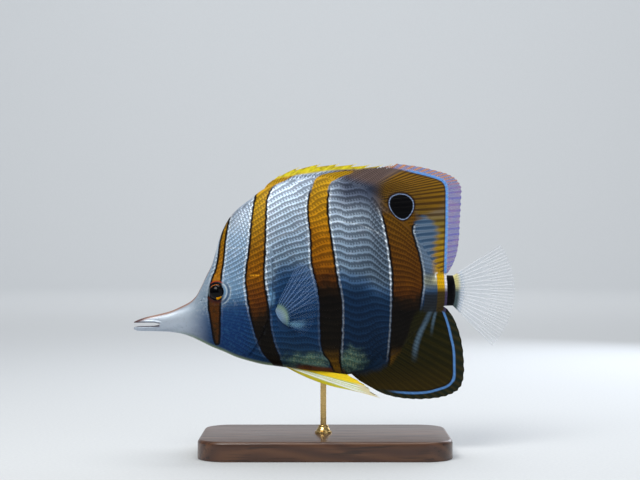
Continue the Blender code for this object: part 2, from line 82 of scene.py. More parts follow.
# The body's outline without its fins, as (along, up).
BACK_LINE = (
    (0, -12.8), (1.7, -12), (5, -10.9), (10.1, -9.7), (15.1, -8.4), (19.3, -6.6),
    (23.5, -4.4), (26, -2), (28.1, 1.8), (30.2, 6.3), (32.6, 11.2), (34.2, 16.4),
    (35.6, 21.4), (37.3, 26), (40.3, 31.3), (44.5, 35.5), (48.7, 38.6), (53.8, 42.6),
    (61.7, 45.8), (69.7, 47.7), (78.1, 48.1), (86.5, 47), (94.9, 44.3), (103.3, 39.3),
    (111.7, 31.7), (120.1, 20.9), (126.8, 11.2), (130.6, 6.8), (135.2, 6.7),
)
BELLY_LINE = (
    (0, -16.2), (1.7, -16.9), (6.7, -17), (13.4, -17.2), (18.5, -17.8), (23.5, -19.2),
    (27.7, -21.1), (32.8, -23.6), (37.8, -25.6), (42.8, -27.8), (47.9, -29.4), (54.6, -31),
    (61.3, -31.9), (69.7, -33.1), (78.1, -34.3), (88.6, -35.2), (95.8, -34.2), (103.3, -31.2),
    (111.7, -25), (120.1, -15.9), (126.8, -8.9), (130.6, -6.4), (135.2, -6.3),
)
HALF_WIDTH = (
    (0, 0.8), (3, 1.5), (11, 2.4), (18, 3.2), (24, 4.5), (30, 5.9), (35, 7),
    (42, 8.6), (50, 9.9), (58, 10.6), (66, 10.8), (76, 10.4), (88, 9.2),
    (100, 7.2), (112, 5), (122, 3.5), (130, 2.6), (135.2, 2.3),
)
BACK_EDGE = ((0, 0.35), (20, 0.5), (46, 0.7), (54, 1.1), (128, 1.1), (132, 0.6))
BELLY_EDGE = (
    (0, 0.35), (20, 0.6), (40, 1.4), (56, 2.6), (78, 2.5), (92, 1.5),
    (104, 1.1), (128, 1.1), (132, 0.6),
)
BACK_ROUNDNESS = (
    (0, 0.5), (24, 0.55), (40, 0.62), (60, 0.82), (90, 1), (122, 1), (132, 0.55),
)
BELLY_ROUNDNESS = (
    (0, 0.5), (30, 0.52), (70, 0.56), (90, 0.8), (105, 1), (122, 1), (132, 0.55),
)
MOUTH_ROOF = ((0, -13.35), (8, -13.3), (11, -13.75))
MOUTH_FLOOR = ((0, -15.3), (2, -14.75), (8, -14.65), (11, -14.1))
MOUTH_CORNER = 11
WIDEST_SHARE = 0.45
GILL_REARMOST = 58.4
STALK_END = 134.9

# Fin rays as (along at the root, along at the tip, up at the tip, how far the middle bows downwards).
DORSAL_SPINES = (
    (53.9, 56.5, 45.2), (57.1, 61.7, 49.1), (61.7, 69.3, 52.2), (68.5, 78.5, 53.6), (74.8, 86.5, 53.7),
    (80.6, 93.7, 53.6), (86.1, 99.5, 53.3), (90.7, 104.6, 53.2), (94.9, 108.3, 53.4),
)
SPINY_FIN_END = (97.8, 111, 53.4)
DORSAL_RAYS = (
    (97.1, 110.3, 53.5), (97.9, 119.3, 52.3), (98.8, 126.8, 50.6), (99.9, 132.3, 48.9),
    (101.5, 135.9, 46.4), (104, 137.6, 42.4), (109, 137.3, 35.7), (114.8, 136.9, 29.4),
    (119.6, 136.6, 23.1), (124, 135.9, 17.2), (127.7, 134.2, 11.8), (130.2, 132, 7.9),
)
# Above this line the spiny fin is bare and yellow; below it the body's scales run up it.
SHEATH_LINE = (
    (53, 45.3), (62, 47.6), (69.7, 48.9), (74.8, 49.6), (79, 50.2), (84.4, 50.8), (92.8, 51.2),
    (99, 51.7), (105, 52.4), (110, 53.6),
)
ANAL_RAYS = (
    (90.7, 94.5, -37.6), (92.8, 99.5, -40.5), (95.3, 104.6, -43.1), (97.9, 110, -44.6),
    (100, 115.1, -45.3), (102.1, 120.1, -45.5), (104.2, 125.2, -45.2), (106.3, 129.8, -44.5),
    (108.4, 133.6, -43.2), (110.9, 136.5, -41.2), (113.4, 138.2, -37.8), (115.9, 138.7, -32.8),
    (118.9, 138.4, -26.9), (121.8, 137.6, -21.2), (124.7, 136.1, -15.8), (127.3, 134.2, -11.3),
    (129.6, 131.6, -7.6),
)
PELVIC_RAYS = (
    (62.8, 91.5, -41, 1.7), (64, 103.6, -44.4, -0.4), (65.4, 99, -40.9, 0),
    (66.8, 97, -39.3, 0), (68.2, 94.2, -37.5, 0), (69.7, 89.6, -34.9, 0),
)
PELVIC_NOTCHES = (0.99, 0.93, 0.97, 0.97, 0.97)
PECTORAL_TIPS = (
    (68.5, 11.3), (71, 12), (73.6, 10.4), (75.5, 7.6), (76.7, 4), (77.3, 0),
    (77.3, -4.4), (76.7, -8.6), (75.4, -12.4), (73.7, -15.4), (71.4, -17.8),
)

# The bands' front and rear edges, as (up, along).
EYE_BAND = (
    ((-22.6, 34.4), (-20.6, 33.6), (-12.2, 32.3), (-4.2, 31.3), (5.5, 32.8), (8.8, 34.2), (13, 35.1),
     (21.4, 36.1), (31.1, 40.2)),
    ((-22.6, 35.4), (-20.6, 36.5), (-8, 37), (5.5, 37.4), (13, 38.4), (21.4, 39.1), (26, 39.7),
     (31.1, 40.6)),
)
SHOULDER_BAND = (
    ((-33, 60.2), (-29, 57.1), (-24.8, 53.8), (-16.4, 50.8), (-8, 48.7), (0.4, 47.4), (4.6, 47),
     (17.2, 48.3), (34, 49.8), (42.4, 51.2), (56, 55)),
    ((-33, 63.4), (-24.8, 60.5), (-16.4, 58), (-3.8, 56.7), (4.6, 55.4), (17.2, 55.7), (34, 56.1),
     (38.2, 56.4), (42.4, 58), (44.6, 60.5), (46.2, 64), (56, 80)),
)
MIDDLE_BAND = (
    ((-36, 84.5), (-29, 81.5), (-24.8, 79), (-16.4, 78.1), (-3.8, 77.7), (0.4, 76.9), (13, 74.3),
     (21.4, 73.9), (34, 72.7), (38.2, 72.9), (42.4, 73.7), (46.6, 75.2), (48.7, 78.1), (50, 84.4),
     (50.9, 93), (56, 110)),
    ((-36, 88.4), (-29, 86.9), (-16.4, 87.2), (-3.8, 87.1), (4.6, 85.7), (13, 84.4), (21.4, 83.2),
     (34, 81.7), (41, 82), (44.5, 82.9), (46.6, 85.3), (48.3, 88.6), (49.3, 92), (50.9, 93.6),
     (56, 110)),
)
REAR_BAND = (
    ((-46, 104), (-38, 105.6), (-29, 106.7), (-12.2, 107.9), (4.6, 108), (15.1, 107.1),
     (24.8, 105.4), (29.8, 104.4), (36.1, 102.6), (41, 102.4), (44, 103), (46.5, 105.5), (49, 109.5),
     (51, 113), (56, 120)),
    ((-46, 117), (-30, 117.4), (-14.3, 118.9), (-2.5, 120.6), (2.5, 121.4), (8, 121.2),
     (16, 119.7), (22, 118), (26, 117.2), (28, 118.2), (31, 121.6), (33.5, 125.6),
     (36, 131), (56, 135)),
)


def ease(share: Array) -> Array:
    """A slow start and a slow end, from 0 to 1."""
    share = np.clip(share, 0.0, 1.0)
    return share * share * (3 - 2 * share)


def rounded(share: Array) -> Array:
    """The height of a quarter circle, from 0 at its foot to 1."""
    return np.sqrt(1 - (1 - np.clip(share, 0.0, 1.0)) ** 2)


def dome(share: Array) -> Array:
    """The height of a half circle, 0 at both ends and 1 in the middle."""
    return np.sqrt(np.clip(1 - (2 * share - 1) ** 2, 0, 1))


def swing(share: Array) -> Array:
    """A cosine's slow start and slow end, from 0 to 1."""
    return (1 - np.cos(np.pi * share)) / 2


def swell(distance: Array, reach: float) -> Array:
    """A soft mound, 1 at no distance."""
    return np.exp(-((distance / reach) ** 2))


def blend(first: Array, second: Array, share: Array) -> Array:
    """The value at a share of the way from first to second."""
    return first + (second - first) * share


def world(along: Array, side: Array, up: Array) -> Array:
    """Places on the fish, in metres in the model's frame."""
    return np.stack([(along - TOTAL_LENGTH / 2) * MM, side * MM, (up + AXIS_HEIGHT) * MM], axis=-1)


class SmoothCurve:
    """A curve through (x, y) points that doesn't overshoot between them."""

    def __init__(self, points: Points) -> None:
        """Works out a slope at each point.

        Args:
            points: The points, in order of x.
        """
        self.xs = np.array([point[0] for point in points])
        self.ys = np.array([point[1] for point in points])
        rises = np.diff(self.ys) / np.diff(self.xs)
        before, after = rises[:-1], rises[1:]
        total = np.where(before * after > 0, before + after, 1.0)
        inner = np.where(before * after > 0, 2 * before * after / total, 0.0)
        self.slopes = np.concatenate([rises[:1], inner, rises[-1:]])

    def __call__(self, x: Array) -> Array:
        """The curve's height at x, held level past its ends."""
        x = np.clip(x, self.xs[0], self.xs[-1])
        at = np.clip(np.searchsorted(self.xs, x, side="right") - 1, 0, len(self.xs) - 2)
        step = self.xs[at + 1] - self.xs[at]
        t = (x - self.xs[at]) / step
        lift = step * t * (1 - t) * (self.slopes[at] * (1 - t) - self.slopes[at + 1] * t)
        return blend(self.ys[at], self.ys[at + 1], t * t * (3 - 2 * t)) + lift

    def slope(self, x: Array) -> Array:
        """How fast the curve climbs round x."""
        return (self(x + 0.4) - self(x - 0.4)) / 0.8

    def stretch(self, x: Array) -> Array:
        """How much longer the curve is than its run at x."""
        return np.hypot(1.0, self.slope(x))


def curves_of(keys: Points) -> list[SmoothCurve]:
    """A curve for each column of a table, over the share of the way down its rows."""
    shares = np.linspace(0.0, 1.0, len(keys))
    return [SmoothCurve(list(zip(shares, column))) for column in zip(*keys)]


back_line = SmoothCurve(BACK_LINE)
belly_line = SmoothCurve(BELLY_LINE)
half_width = SmoothCurve(HALF_WIDTH)
back_edge = SmoothCurve(BACK_EDGE)
belly_edge = SmoothCurve(BELLY_EDGE)
back_roundness = SmoothCurve(BACK_ROUNDNESS)
belly_roundness = SmoothCurve(BELLY_ROUNDNESS)
mouth_roof = SmoothCurve(MOUTH_ROOF)
mouth_floor = SmoothCurve(MOUTH_FLOOR)


def linear(colour: Colour) -> tuple[float, float, float, float]:
    """A screen colour of 0 to 255 as linear light."""
    shares = [value / 255 for value in colour]
    return (*(s / 12.92 if s <= 0.04045 else ((s + 0.055) / 1.055) ** 2.4 for s in shares), 1.0)

# ---- Nodes


@dataclass
class Field:
    """A number or colour that varies over a surface, with arithmetic that adds the nodes it needs."""

    tree: NodeTree
    socket: NodeSocket

    def math(self, operation: str, *others: "Field | float") -> "Field":
        """Adds a Math node.

        Args:
            operation: The node's operation.
            others: Its second and third values.

        Returns:
            The node's result.
        """
        node = self.tree.nodes.new("ShaderNodeMath")
        node.operation = operation
        for place, value in enumerate((self, *others)):
            feed(node.inputs[place], value)
        return Field(self.tree, node.outputs[0])

    def __add__(self, other: "Field | float") -> "Field":
        """The sum."""
        return self.math("ADD", other)

    def __sub__(self, other: "Field | float") -> "Field":
        """The difference."""
        return self.math("SUBTRACT", other)

    def __mul__(self, other: "Field | float") -> "Field":
        """The product."""
        return self.math("MULTIPLY", other)

    def least(self, other: "Field | float") -> "Field":
        """The smaller of the two."""
        return self.math("MINIMUM", other)

    def most(self, other: "Field | float") -> "Field":
        """The larger of the two."""
        return self.math("MAXIMUM", other)

    def off(self) -> "Field":
        """1 where this is 0, and 0 where it is 1."""
        return self * -1 + 1

    def hill(self, middle: float, reach: float) -> "Field":
        """1 at the middle, falling to 0 at the reach on both sides."""
        return (self - middle).math("ABSOLUTE").rise(reach, 0)

    def wave(self, turns: float) -> "Field":
        """A cosine from 0 to 1 with so many turns for each unit."""
        return (self * (turns * math.tau)).math("COSINE") * 0.5 + 0.5

    def rise(self, low: float, high: float) -> "Field":
        """A smooth step.

        Args:
            low: Where it is 0.
            high: Where it is 1, which may be below low.

        Returns:
            The step, 0 or 1 past its ends.
        """
        if high < low:
            return self.rise(high, low).off()
        node = self.tree.nodes.new("ShaderNodeMapRange")
        node.interpolation_type = "SMOOTHSTEP"
        for name, value in (("Value", self), ("From Min", low), ("From Max", high)):
            feed(node.inputs[name], value)
        return Field(self.tree, node.outputs[0])

    def curve(self, points: Points) -> "Field":
        """The height of a smooth curve at this value.

        Args:
            points: The curve's (x, y) points, in order of x.

        Returns:
            The height, level past the curve's ends.
        """
        xs, ys = zip(*points)
        low, span = min(ys), max(max(ys) - min(ys), 1e-6)
        node = self.tree.nodes.new("ShaderNodeFloatCurve")
        node.mapping.extend = "HORIZONTAL"
        line = node.mapping.curves[0].points
        for place, (x, y) in enumerate(points):
            spot = ((x - xs[0]) / (xs[-1] - xs[0]), (y - low) / span)
            if place < 2:
                line[place].location = spot
            else:
                line.new(*spot)
        node.mapping.update()
        feed(node.inputs["Value"], (self - xs[0]) * (1 / (xs[-1] - xs[0])))
        return Field(self.tree, node.outputs[0]) * span + low

    def ramp(self, stops: Stops) -> "Field":
        """A colour for each value.

        Args:
            stops: (value, colour) pairs, in order of value.

        Returns:
            The colour, blended between stops.
        """
        low, high = stops[0][0], stops[-1][0]
        node = self.tree.nodes.new("ShaderNodeValToRGB")
        marks = node.color_ramp.elements
        while len(marks) < len(stops):
            marks.new(0.5)
        for mark, (value, colour) in zip(marks, stops):
            mark.position = (value - low) / (high - low)
            mark.color = linear(colour)
        feed(node.inputs[0], (self - low) * (1 / (high - low)))
        return Field(self.tree, node.outputs[0])

    def painted(self, over: "Field | Colour", cover: "Field | float", mode: str = "MIX") -> "Field":
        """This colour with another laid over it.

        Args:
            over: The other colour.
            cover: How much of it shows, from 0 to 1.
            mode: How the two are mixed.

        Returns:
            The mixed colour.
        """
        node = self.tree.nodes.new("ShaderNodeMix")
        node.data_type = "RGBA"
        node.blend_type = mode
        for place, value in ((0, cover), (6, self), (7, over)):
            feed(node.inputs[place], value)
        return Field(self.tree, node.outputs[2])

    def coats(self, *coats: tuple["Field | Colour", "Field | float"]) -> "Field":
        """This colour with (colour, cover) coats laid over it in order."""
        colour = self
        for over, cover in coats:
            colour = colour.painted(over, cover)
        return colour


def feed(socket: NodeSocket, value: Field | float | Colour) -> None:
    """Links a field to an input socket, or sets the socket's number or colour."""
    if isinstance(value, Field):
        value.tree.links.new(value.socket, socket)
    else:
        socket.default_value = linear(value) if isinstance(value, tuple) else value


@dataclass
class Surface:
    """The coordinates that a node tree's patterns are drawn on, in millimetres."""

    tree: NodeTree

    def __post_init__(self) -> None:
        """Adds the coordinate nodes."""
        self.place = self.tree.nodes.new("ShaderNodeTexCoord").outputs["Object"]
        parts = self.tree.nodes.new("ShaderNodeSeparateXYZ")
        self.tree.links.new(self.place, parts.inputs[0])
        x, y, z = (Field(self.tree, socket) * (1 / MM) for socket in parts.outputs)
        self.along, self.side, self.up = x + TOTAL_LENGTH / 2, y, z - AXIS_HEIGHT
        self.axes = {"along": self.along, "up": self.up}

    def window(self, **spans: tuple[float, ...]) -> Field:
        """A soft window over the surface.

        Args:
            spans: For each axis by name, where the window rises from 0 to 1 and, where two more values
                follow, from where to where it falls again.

        Returns:
            1 inside the window and 0 outside it.
        """
        steps = []
        for name, span in spans.items():
            steps.append(self.axes[name].rise(*span[:2]))
            if span[2:]:
                steps.append(self.axes[name].rise(span[3], span[2]))
        return functools.reduce(Field.__mul__, steps)

    def attribute(self, name: str) -> Field:
        """A number that the mesh holds at each of its points."""
        node = self.tree.nodes.new("ShaderNodeAttribute")
        node.attribute_name = name
        return Field(self.tree, node.outputs["Fac"])

    def noise(self, size: float, detail: float = 2, stretch: Place = (1, 1, 1)) -> Field:
        """Soft random patches.

        Args:
            size: How far apart they are, in millimetres.
            detail: How many finer layers they have.
            stretch: How much closer they lie along each axis.

        Returns:
            The noise, about 0.5 on average.
        """
        turn = self.tree.nodes.new("ShaderNodeMapping")
        turn.inputs["Scale"].default_value = stretch
        self.tree.links.new(self.place, turn.inputs["Vector"])
        node = self.tree.nodes.new("ShaderNodeTexNoise")
        node.inputs["Scale"].default_value = 1 / (size * MM)
        node.inputs["Detail"].default_value = detail
        self.tree.links.new(turn.outputs[0], node.inputs["Vector"])
        return Field(self.tree, node.outputs[0])

    def spot(self, along: float, up: float, wide: float, tall: float) -> Field:
        """How far a place is from a spot's middle, 1 at its edge."""
        across, above = (self.along - along) * (1 / wide), (self.up - up) * (1 / tall)
        return (across * across + above * above).math("SQRT")

    def group(self, tree: NodeTree) -> dict[str, Field]:
        """Places a node group.

        Args:
            tree: The group.

        Returns:
            Its outputs by name.
        """
        node = self.tree.nodes.new("ShaderNodeGroup")
        node.node_tree = tree
        return {socket.name: Field(self.tree, socket) for socket in node.outputs}


class Markings:
    """The fish's pattern of colours, one node group that skin, scales and fins share."""

    OUTPUTS = (("Colour", "Color"), ("Silver", "Float"), ("Clear", "Float"), ("Contrast", "Float"))
    # Silver by level over the shade line: the flank's own silver above it, falling below it into deep blue
    # painted shade.
    SILVER = (
        (-40, (26, 46, 62)), (-24, (22, 54, 90)), (-8, (26, 60, 100)), (-2, (42, 74, 112)), (2, (72, 100, 132)),
        (6.5, (122, 146, 168)), (14, (136, 158, 180)), (26, (164, 182, 200)), (44, (158, 174, 194)),
    )
    # Copper by level over the shade line: the bands' own orange above it, falling below it to near-black
    # painted shade.
    COPPER = (
        (-40, (22, 17, 8)), (-8, (13, 10, 8)), (-3, (34, 22, 11)), (2, (84, 46, 12)), (6.5, (136, 80, 11)),
        (18, (166, 106, 12)), (28, (184, 130, 18)), (42, (192, 148, 24)),
    )
    GOLD = (
        (8, (184, 140, 24)), (18, (168, 132, 30)), (29, (124, 106, 46)), (36, (118, 86, 24)),
        (46, (138, 98, 26)),
    )
    OLIVE = ((-44, (52, 40, 9)), (-30, (30, 28, 7)), (-8, (22, 26, 8)))
    WHITE_LINE = (222, 232, 240)
    BLACK_EDGE = (14, 10, 9)
    # What the ray attribute says where there are no rays.
    NEUTRAL_RAY = 0.125
    # Lines as (along, up). Above the shade line the flank faces the light, and below it turns under.
    SHADE_LINE = (
        (18, -17), (26, -13), (34, -8), (44, -5), (52, -5), (59, 2), (66, 8), (72, 7), (80, 4.5), (92, 4),
        (104, 0), (116, -1), (135, 1.5),
    )
    LATERAL_LINE = (
        (52, 18), (56.3, 20.2), (64, 23.8), (72.7, 26.9), (83.2, 29), (92, 28.3), (97.9, 26.5), (110, 19),
        (120, 9), (130, 2),
    )
    CROWN_LINE = ((80, 51), (88, 48), (96, 45.8), (104, 44), (114, 43))
    DORSAL_TOP = ((100, 52.6), (110, 51.4), (118, 49.9), (127, 47.5), (133, 45))
    ANAL_EDGE = ((88, -34), (98, -33.5), (107, -30), (114, -20), (119, -8), (127, -5), (131, -5.6))
    ANAL_FOOT = ((104, -41.2), (112, -42.6), (120, -42.8), (128, -41.3), (134, -38.4))
    # Lines as (up, along).
    DORSAL_SIDE = ((7, 130.6), (19, 131), (32, 131.3), (50, 131.3))
    GOLD_EDGE = (
        (6, 125.8), (14, 125.2), (20, 125.4), (25, 126.4), (29, 124.4), (33, 117.5), (37, 107), (42, 103.5),
        (46, 105.5), (50, 112),
    )
    ANAL_SIDE = ((-44, 134.6), (-32, 134.5), (-25.6, 134.3), (-19.3, 133.1), (-13, 131.5), (-6.7, 128.9))
    STROKES = (
        (((-31, 117.6), (-24, 118.2), (-19, 119.6), (-13, 122.3), (-6, 125.6)), 1.9),
        (((-20, 124.6), (-12, 125.8), (-6, 127.6)), 1.1),
    )
    # Spots as (along, up, half length, half height).
    BELLY_PATCHES = ((74, -28.6, 11, 3.4), (90.5, -28.4, 7, 5))
    GILL_FLAP = (58, -2.3, 2, 4.4)
    STALK_GLINT = (127.2, 6.4, 1.6, 1.5)

    def __init__(self) -> None:
        """Builds the group."""
        self.tree = bpy.data.node_groups.new("markings", "ShaderNodeTree")
        for name, kind in self.OUTPUTS:
            self.tree.interface.new_socket(name, in_out="OUTPUT", socket_type=f"NodeSocket{kind}")
        self.on = on = Surface(self.tree)
        self.streak = on.attribute("ray").wave(1)
        self.level = on.axes["level"] = on.up - on.along.curve(self.SHADE_LINE)
        self.lit = self.level.rise(-7, 6)
        self.face = on.along.rise(44, 40)
        golden = on.window(up=(31, 36), along=(88, 100))
        self.golden = golden.most(on.window(up=(25.5, 29), along=(117, 120)))
        wander = on.noise(1.5, 1) * 0.9 - 0.45
        self.depth = self.band(EYE_BAND, wander * 0.5)
        for edges in (SHOULDER_BAND, MIDDLE_BAND, REAR_BAND):
            self.depth = self.depth.most(self.band(edges, wander))
        end = self.tree.nodes.new("NodeGroupOutput")
        for (name, _), value in zip(self.OUTPUTS, self.paint()):
            feed(end.inputs[name], value)

    def band(self, edges: tuple[Points, Points], wander: Field) -> Field:
        """Places one band.

        Args:
            edges: Its front and rear edge, as (up, along) points.
            wander: How far its edges stray.

        Returns:
            How far inside the band a place is, in millimetres.
        """
        up, along = self.on.up, self.on.along
        top, foot = min(edge[-1][0] for edge in edges), max(edge[0][0] for edge in edges)
        front, rear = (up.curve(edge) for edge in edges)
        inside = (along - front).least(rear - along) + wander
        return inside.least(up * -1 + top).least(up - foot)

    def base(self) -> Field:
        """The silver ground: bright above the flank's turn, painted deep blue shade below it, with painted
        glints on the head, and pale on the snout.
        """
        on, level = self.on, self.level
        # Painted glints of light on the head, only above the shade line.
        sparkle = on.noise(0.9).rise(0.5, 0.72) * on.window(along=(58, 50), level=(-4, 8))
        cheek = on.window(along=(30, 38, 46, 52))
        rear = on.along.rise(78, 88) * 0.3 + on.along.rise(90, 102) * 0.45
        over = on.up - on.along.curve(self.CROWN_LINE)
        lateral = (on.up - on.along.curve(self.LATERAL_LINE)).hill(0, 0.55) * on.along.rise(125, 110)
        snout = on.along.rise(34, 18)
        fibres = on.noise(1.6, 3, (0.2, 1, 1)).rise(0.48, 0.7)
        # The ramp by level paints the shade below the shade line.
        return (level + on.noise(7, 3) * 5 - 2.5).ramp(self.SILVER).coats(
            ((228, 238, 246), sparkle * 0.4),
            ((206, 200, 214), on.noise(3.4).rise(0.5, 0.7) * on.up.rise(4, 20) * 0.12),
            ((110, 172, 224), cheek * on.window(up=(-6, 0, 20, 30)) * 0.25),
            # The cheek's blue, painted deeper below the shade line as shade.
            ((12, 46, 104), cheek * level.rise(2, -4) * 0.5),
            ((58, 112, 152), cheek * on.noise(1, 4).rise(0.45, 0.75) * level.rise(14, 2) * 0.28),
            # Painted shade: the rear flank darker still below the shade line.
            ((9, 24, 40), level.rise(1.5, -4.5) * on.along.rise(78, 90) * 0.6),
            ((58, 72, 88), level.rise(-2, 6) * rear),
            ((50, 58, 80), on.window(up=(30, 42), along=(80, 90, 104, 116)) * 0.85),
            ((112, 92, 84), over.rise(-2, 2) * on.along.rise(82, 88) * 0.85),
            ((206, 218, 228), lateral * 0.45),
            ((192, 202, 214), snout * 0.8),
            ((150, 164, 180), snout * fibres * 0.5),
        )

    def face_tints(self, ground: Field) -> Field:
        """The warm line down the forehead, the green one under the throat, painted shade along the lips where
        the mouth opens, and the gill's flap.
        """
        on = self.on
        from_back = on.along.curve(BACK_LINE[:20]) - on.up
        from_belly = on.up - on.along.curve(BELLY_LINE[:16])
        lips = (on.up + 14.1).math("ABSOLUTE").rise(1.15, 0.75) * on.along.rise(11.4, 10.4)
        return ground.coats(
            ((150, 92, 44), from_back.rise(1.5, 0.3) * on.along.rise(44, 38) * 0.8),
            ((136, 156, 112), from_belly.rise(2.2, 0.4) * on.window(along=(14, 32, 60, 66)) * 0.75),
            ((70, 44, 50), on.along.rise(8, 2) * from_back.rise(2.2, 0.6) * 0.8),
            # Painted shade along the lips' edges, where the mouth opens.
            ((84, 76, 86), lips * 0.85),
            ((112, 156, 192), on.spot(*self.GILL_FLAP).rise(1.1, 0.4) * 0.7),
        )

    def eye_tints(self, ground: Field) -> Field:
        """The dark orbit, the orange arc over it and the silver crescents behind it."""
        on = self.on
        far = on.spot(35.3, 0, 1, 1)
        rear = on.window(along=(36.8, 38.6), up=(5.2, 2.6))
        orbit = far.hill(3.5, 1.1).rise(0, 0.4) * rear.off() * on.along.rise(31.9, 32.7)
        under = on.window(up=(-1.5, -3), along=(38.5, 36.5))
        over = on.window(up=(2.6, 3.6), along=(32, 33.2, 37, 38.5))
        return ground.coats(
            ((10, 9, 16), orbit),
            ((70, 26, 16), far.hill(4.4, 1) * under * 0.8),
            ((176, 62, 32), far.hill(4.3, 0.4) * over * 0.75),
            ((30, 50, 84), far.hill(4.9, 1.3) * rear * 0.6),
            ((196, 212, 222), far.hill(4.15, 0.55) * rear * 0.9),
            ((196, 212, 222), far.hill(5.75, 0.5) * rear * 0.6),
        )

    def belly_tints(self, ground: Field) -> Field:
        """Olive speckles on the belly before and behind the middle band, and brown over the belly fins."""
        on = self.on
        speckle = on.noise(0.6, 1).rise(0.5, 0.66)
        for spot in self.BELLY_PATCHES:
            patch = (on.spot(*spot) + on.noise(3, 4) * 1.6 - 0.8).rise(1.4, 0)
            ground = ground.coats(((96, 130, 108), patch * 0.6), ((170, 178, 130), patch * speckle * 0.35))
        fold = (on.up - on.along.curve(BELLY_LINE)).hill(1.2, 2.7) * on.window(along=(66, 73, 86, 90))
        return ground.painted((88, 42, 14), fold.rise(0, 0.7) * 0.9)

    def halo(self) -> Field:
        """The pale outlines of the bands, faint in the shade, on the face and near the tail."""
        on = self.on
        strength = (self.lit * (on.along.rise(96, 102) * 0.25 + 0.6) + 0.05).most(
            on.window(along=(80, 84, 112, 118)) * 0.22)
        line = self.depth.hill(-0.5, 0.6) * self.golden.off() * on.up.rise(-31, -25) * strength
        return line * (self.face * on.up.rise(8, 0) * -0.75 + 1) * (on.along.rise(115, 119) * -0.45 + 1)

    def copper(self) -> Field:
        """The bands' colour, bright above and painted in black shade below, mottled at the shoulder and golden
        on the back fin.
        """
        on, level, golden = self.on, self.level, self.golden
        shoulder = on.along.rise(66, 58)
        mottle = on.noise(1.3, 3).rise(0.35, 0.7)
        under = self.face * on.up.rise(-2, -4)
        # The ramp by level paints the shade below the shade line, which starts lower at the shoulder.
        return (level + shoulder * 3 + on.noise(4) * 9 - 4.5).ramp(self.COPPER).coats(
            ((112, 78, 14), on.window(up=(-22, -31), along=(70, 76)) * 0.7),
            ((72, 42, 12), on.window(along=(94, 102, 123, 127), level=(-2, 8)) * 0.85),
            # At the shoulder the band is painted a mid brown where it turns into the shade.
            ((88, 44, 14), shoulder * level.hill(4, 8) * 0.7),
            ((98, 46, 12), shoulder * level.hill(20, 22) * 0.4),
            ((70, 34, 12), shoulder * mottle * on.window(level=(-5, 2, 22, 44)) * 0.35),
            # Below the eye the band is dark brown and mottled, painted darker towards the bottom as shade.
            ((84, 46, 14), under),
            ((40, 30, 14), under * (mottle * 0.6 + on.up.rise(-10, -20) * 0.5)),
            ((196, 132, 34), self.face * on.window(up=(3, 5, 7, 22)) * (mottle * 0.5 + 0.2)),
            ((98, 70, 14), golden * 0.8),
            ((38, 26, 9), golden * self.streak.off() * 0.8),
            ((168, 128, 28), golden * self.streak * on.up.rise(38, 48) * 0.5),
        )

    def soft_dorsal(self, ground: Field) -> Field:
        """The pale field, the streaks, the blue line and the clear margin of the back fin's rear."""
        on, streak = self.on, self.streak
        on_fin = on.window(up=(6.6, 8), along=(96, 100))
        patch = on.window(along=(116.5, 119, 125, 129.5), up=(6, 12, 30, 38))
        self.patch = patch = patch * (self.depth + streak * 3 - 1.5).rise(1.8, -1)
        zone = (on.along - on.up.curve(self.GOLD_EDGE) + streak * 1.6).rise(0.2, 3.6) * on.up.rise(6, 7.4)
        from_top = on.along.curve(self.DORSAL_TOP) - on.up
        rim = (on.up.curve(self.DORSAL_SIDE) - on.along).math("SMOOTH_MIN", from_top, 5)
        self.clear = outer = rim.rise(0.25, -0.25) * on_fin
        return ground.coats(
            ((56, 84, 114), patch * 0.9),
            ((150, 170, 190), patch * streak.rise(0.3, 1) * 0.34),
            (on.up.ramp(self.GOLD), zone * (on.up.rise(34, 28) * 0.3 + 0.7)),
            ((56, 36, 18), zone * streak.off().rise(0.3, 0.9) * 0.7),
            ((108, 108, 180), outer),
            ((172, 118, 142), outer * on.noise(5).rise(0.4, 0.6) * 0.3),
            ((212, 140, 56), outer * on.up.rise(42, 48) * streak.rise(0.3, 0.9) * 0.8),
            ((40, 32, 26), rim.hill(0.75, 0.55) * on_fin * on.along.rise(108, 118) * 0.6),
            ((92, 158, 234), (rim.hill(-0.1, 0.95) * on_fin * on.along.rise(108, 122)).rise(0, 0.8)),
        )

    def anal_fin(self, ground: Field) -> Field:
        """The olive field, pale strokes, blue line and brown margin of the anal fin."""
        on, streak = self.on, self.streak
        self.olive = (on.along.curve(self.ANAL_EDGE) - on.up + on.noise(3) * 3 - 1.5).rise(-1.5, 2.5)
        plain = on.up.ramp(self.OLIVE).painted((76, 64, 18), streak.rise(0.2, 1) * 0.12)
        fin = ground.painted(plain, self.olive)
        for path, wide in self.STROKES:
            foot = path[0][0]
            stroke = (on.along - on.up.curve(path)).hill(0, wide) * on.window(up=(foot, foot + 9, -9, -5))
            fin = fin.painted((92, 118, 140), stroke * 0.65)
        from_foot = on.up - on.along.curve(self.ANAL_FOOT)
        rim = (on.up.curve(self.ANAL_SIDE) - on.along).math("SMOOTH_MIN", from_foot, 5)
        on_fin = on.up.rise(-6, -7.4)
        outer = rim.rise(0.2, -0.2) * on_fin * on.along.rise(88, 96)
        return fin.coats(
            ((26, 34, 26), outer),
            ((88, 68, 24), outer * streak * 0.2),
            ((20, 17, 9), rim.hill(0.8, 0.6) * on_fin * on.along.rise(106, 114) * 0.7),
            ((86, 134, 194), (rim.hill(0, 0.85) * on_fin * on.along.rise(104, 116)).rise(0, 0.8)),
        )

    def ocellus(self, ground: Field) -> Field:
        """The false eye on the back fin, black in a thin pale ring."""
        on = self.on
        height = on.up - 35.4
        across = (on.along - 112.3 + height * 0.1) * (1 / 4.6)
        across = across.math("DIVIDE", (height * 0.04 + 1).most(0.7))
        above = height * (1 / 4.9)
        far = (across * across + above * above).math("SQRT") + on.noise(2.2) * 0.06 - 0.03
        self.false_eye = far.rise(1.3, 1.15)
        return ground.coats(
            ((44, 26, 12), far.rise(1.36, 1.18)), ((132, 152, 186), far.rise(1.16, 1.1)),
            ((3, 3, 6), far.rise(1.07, 1.02)),
        )

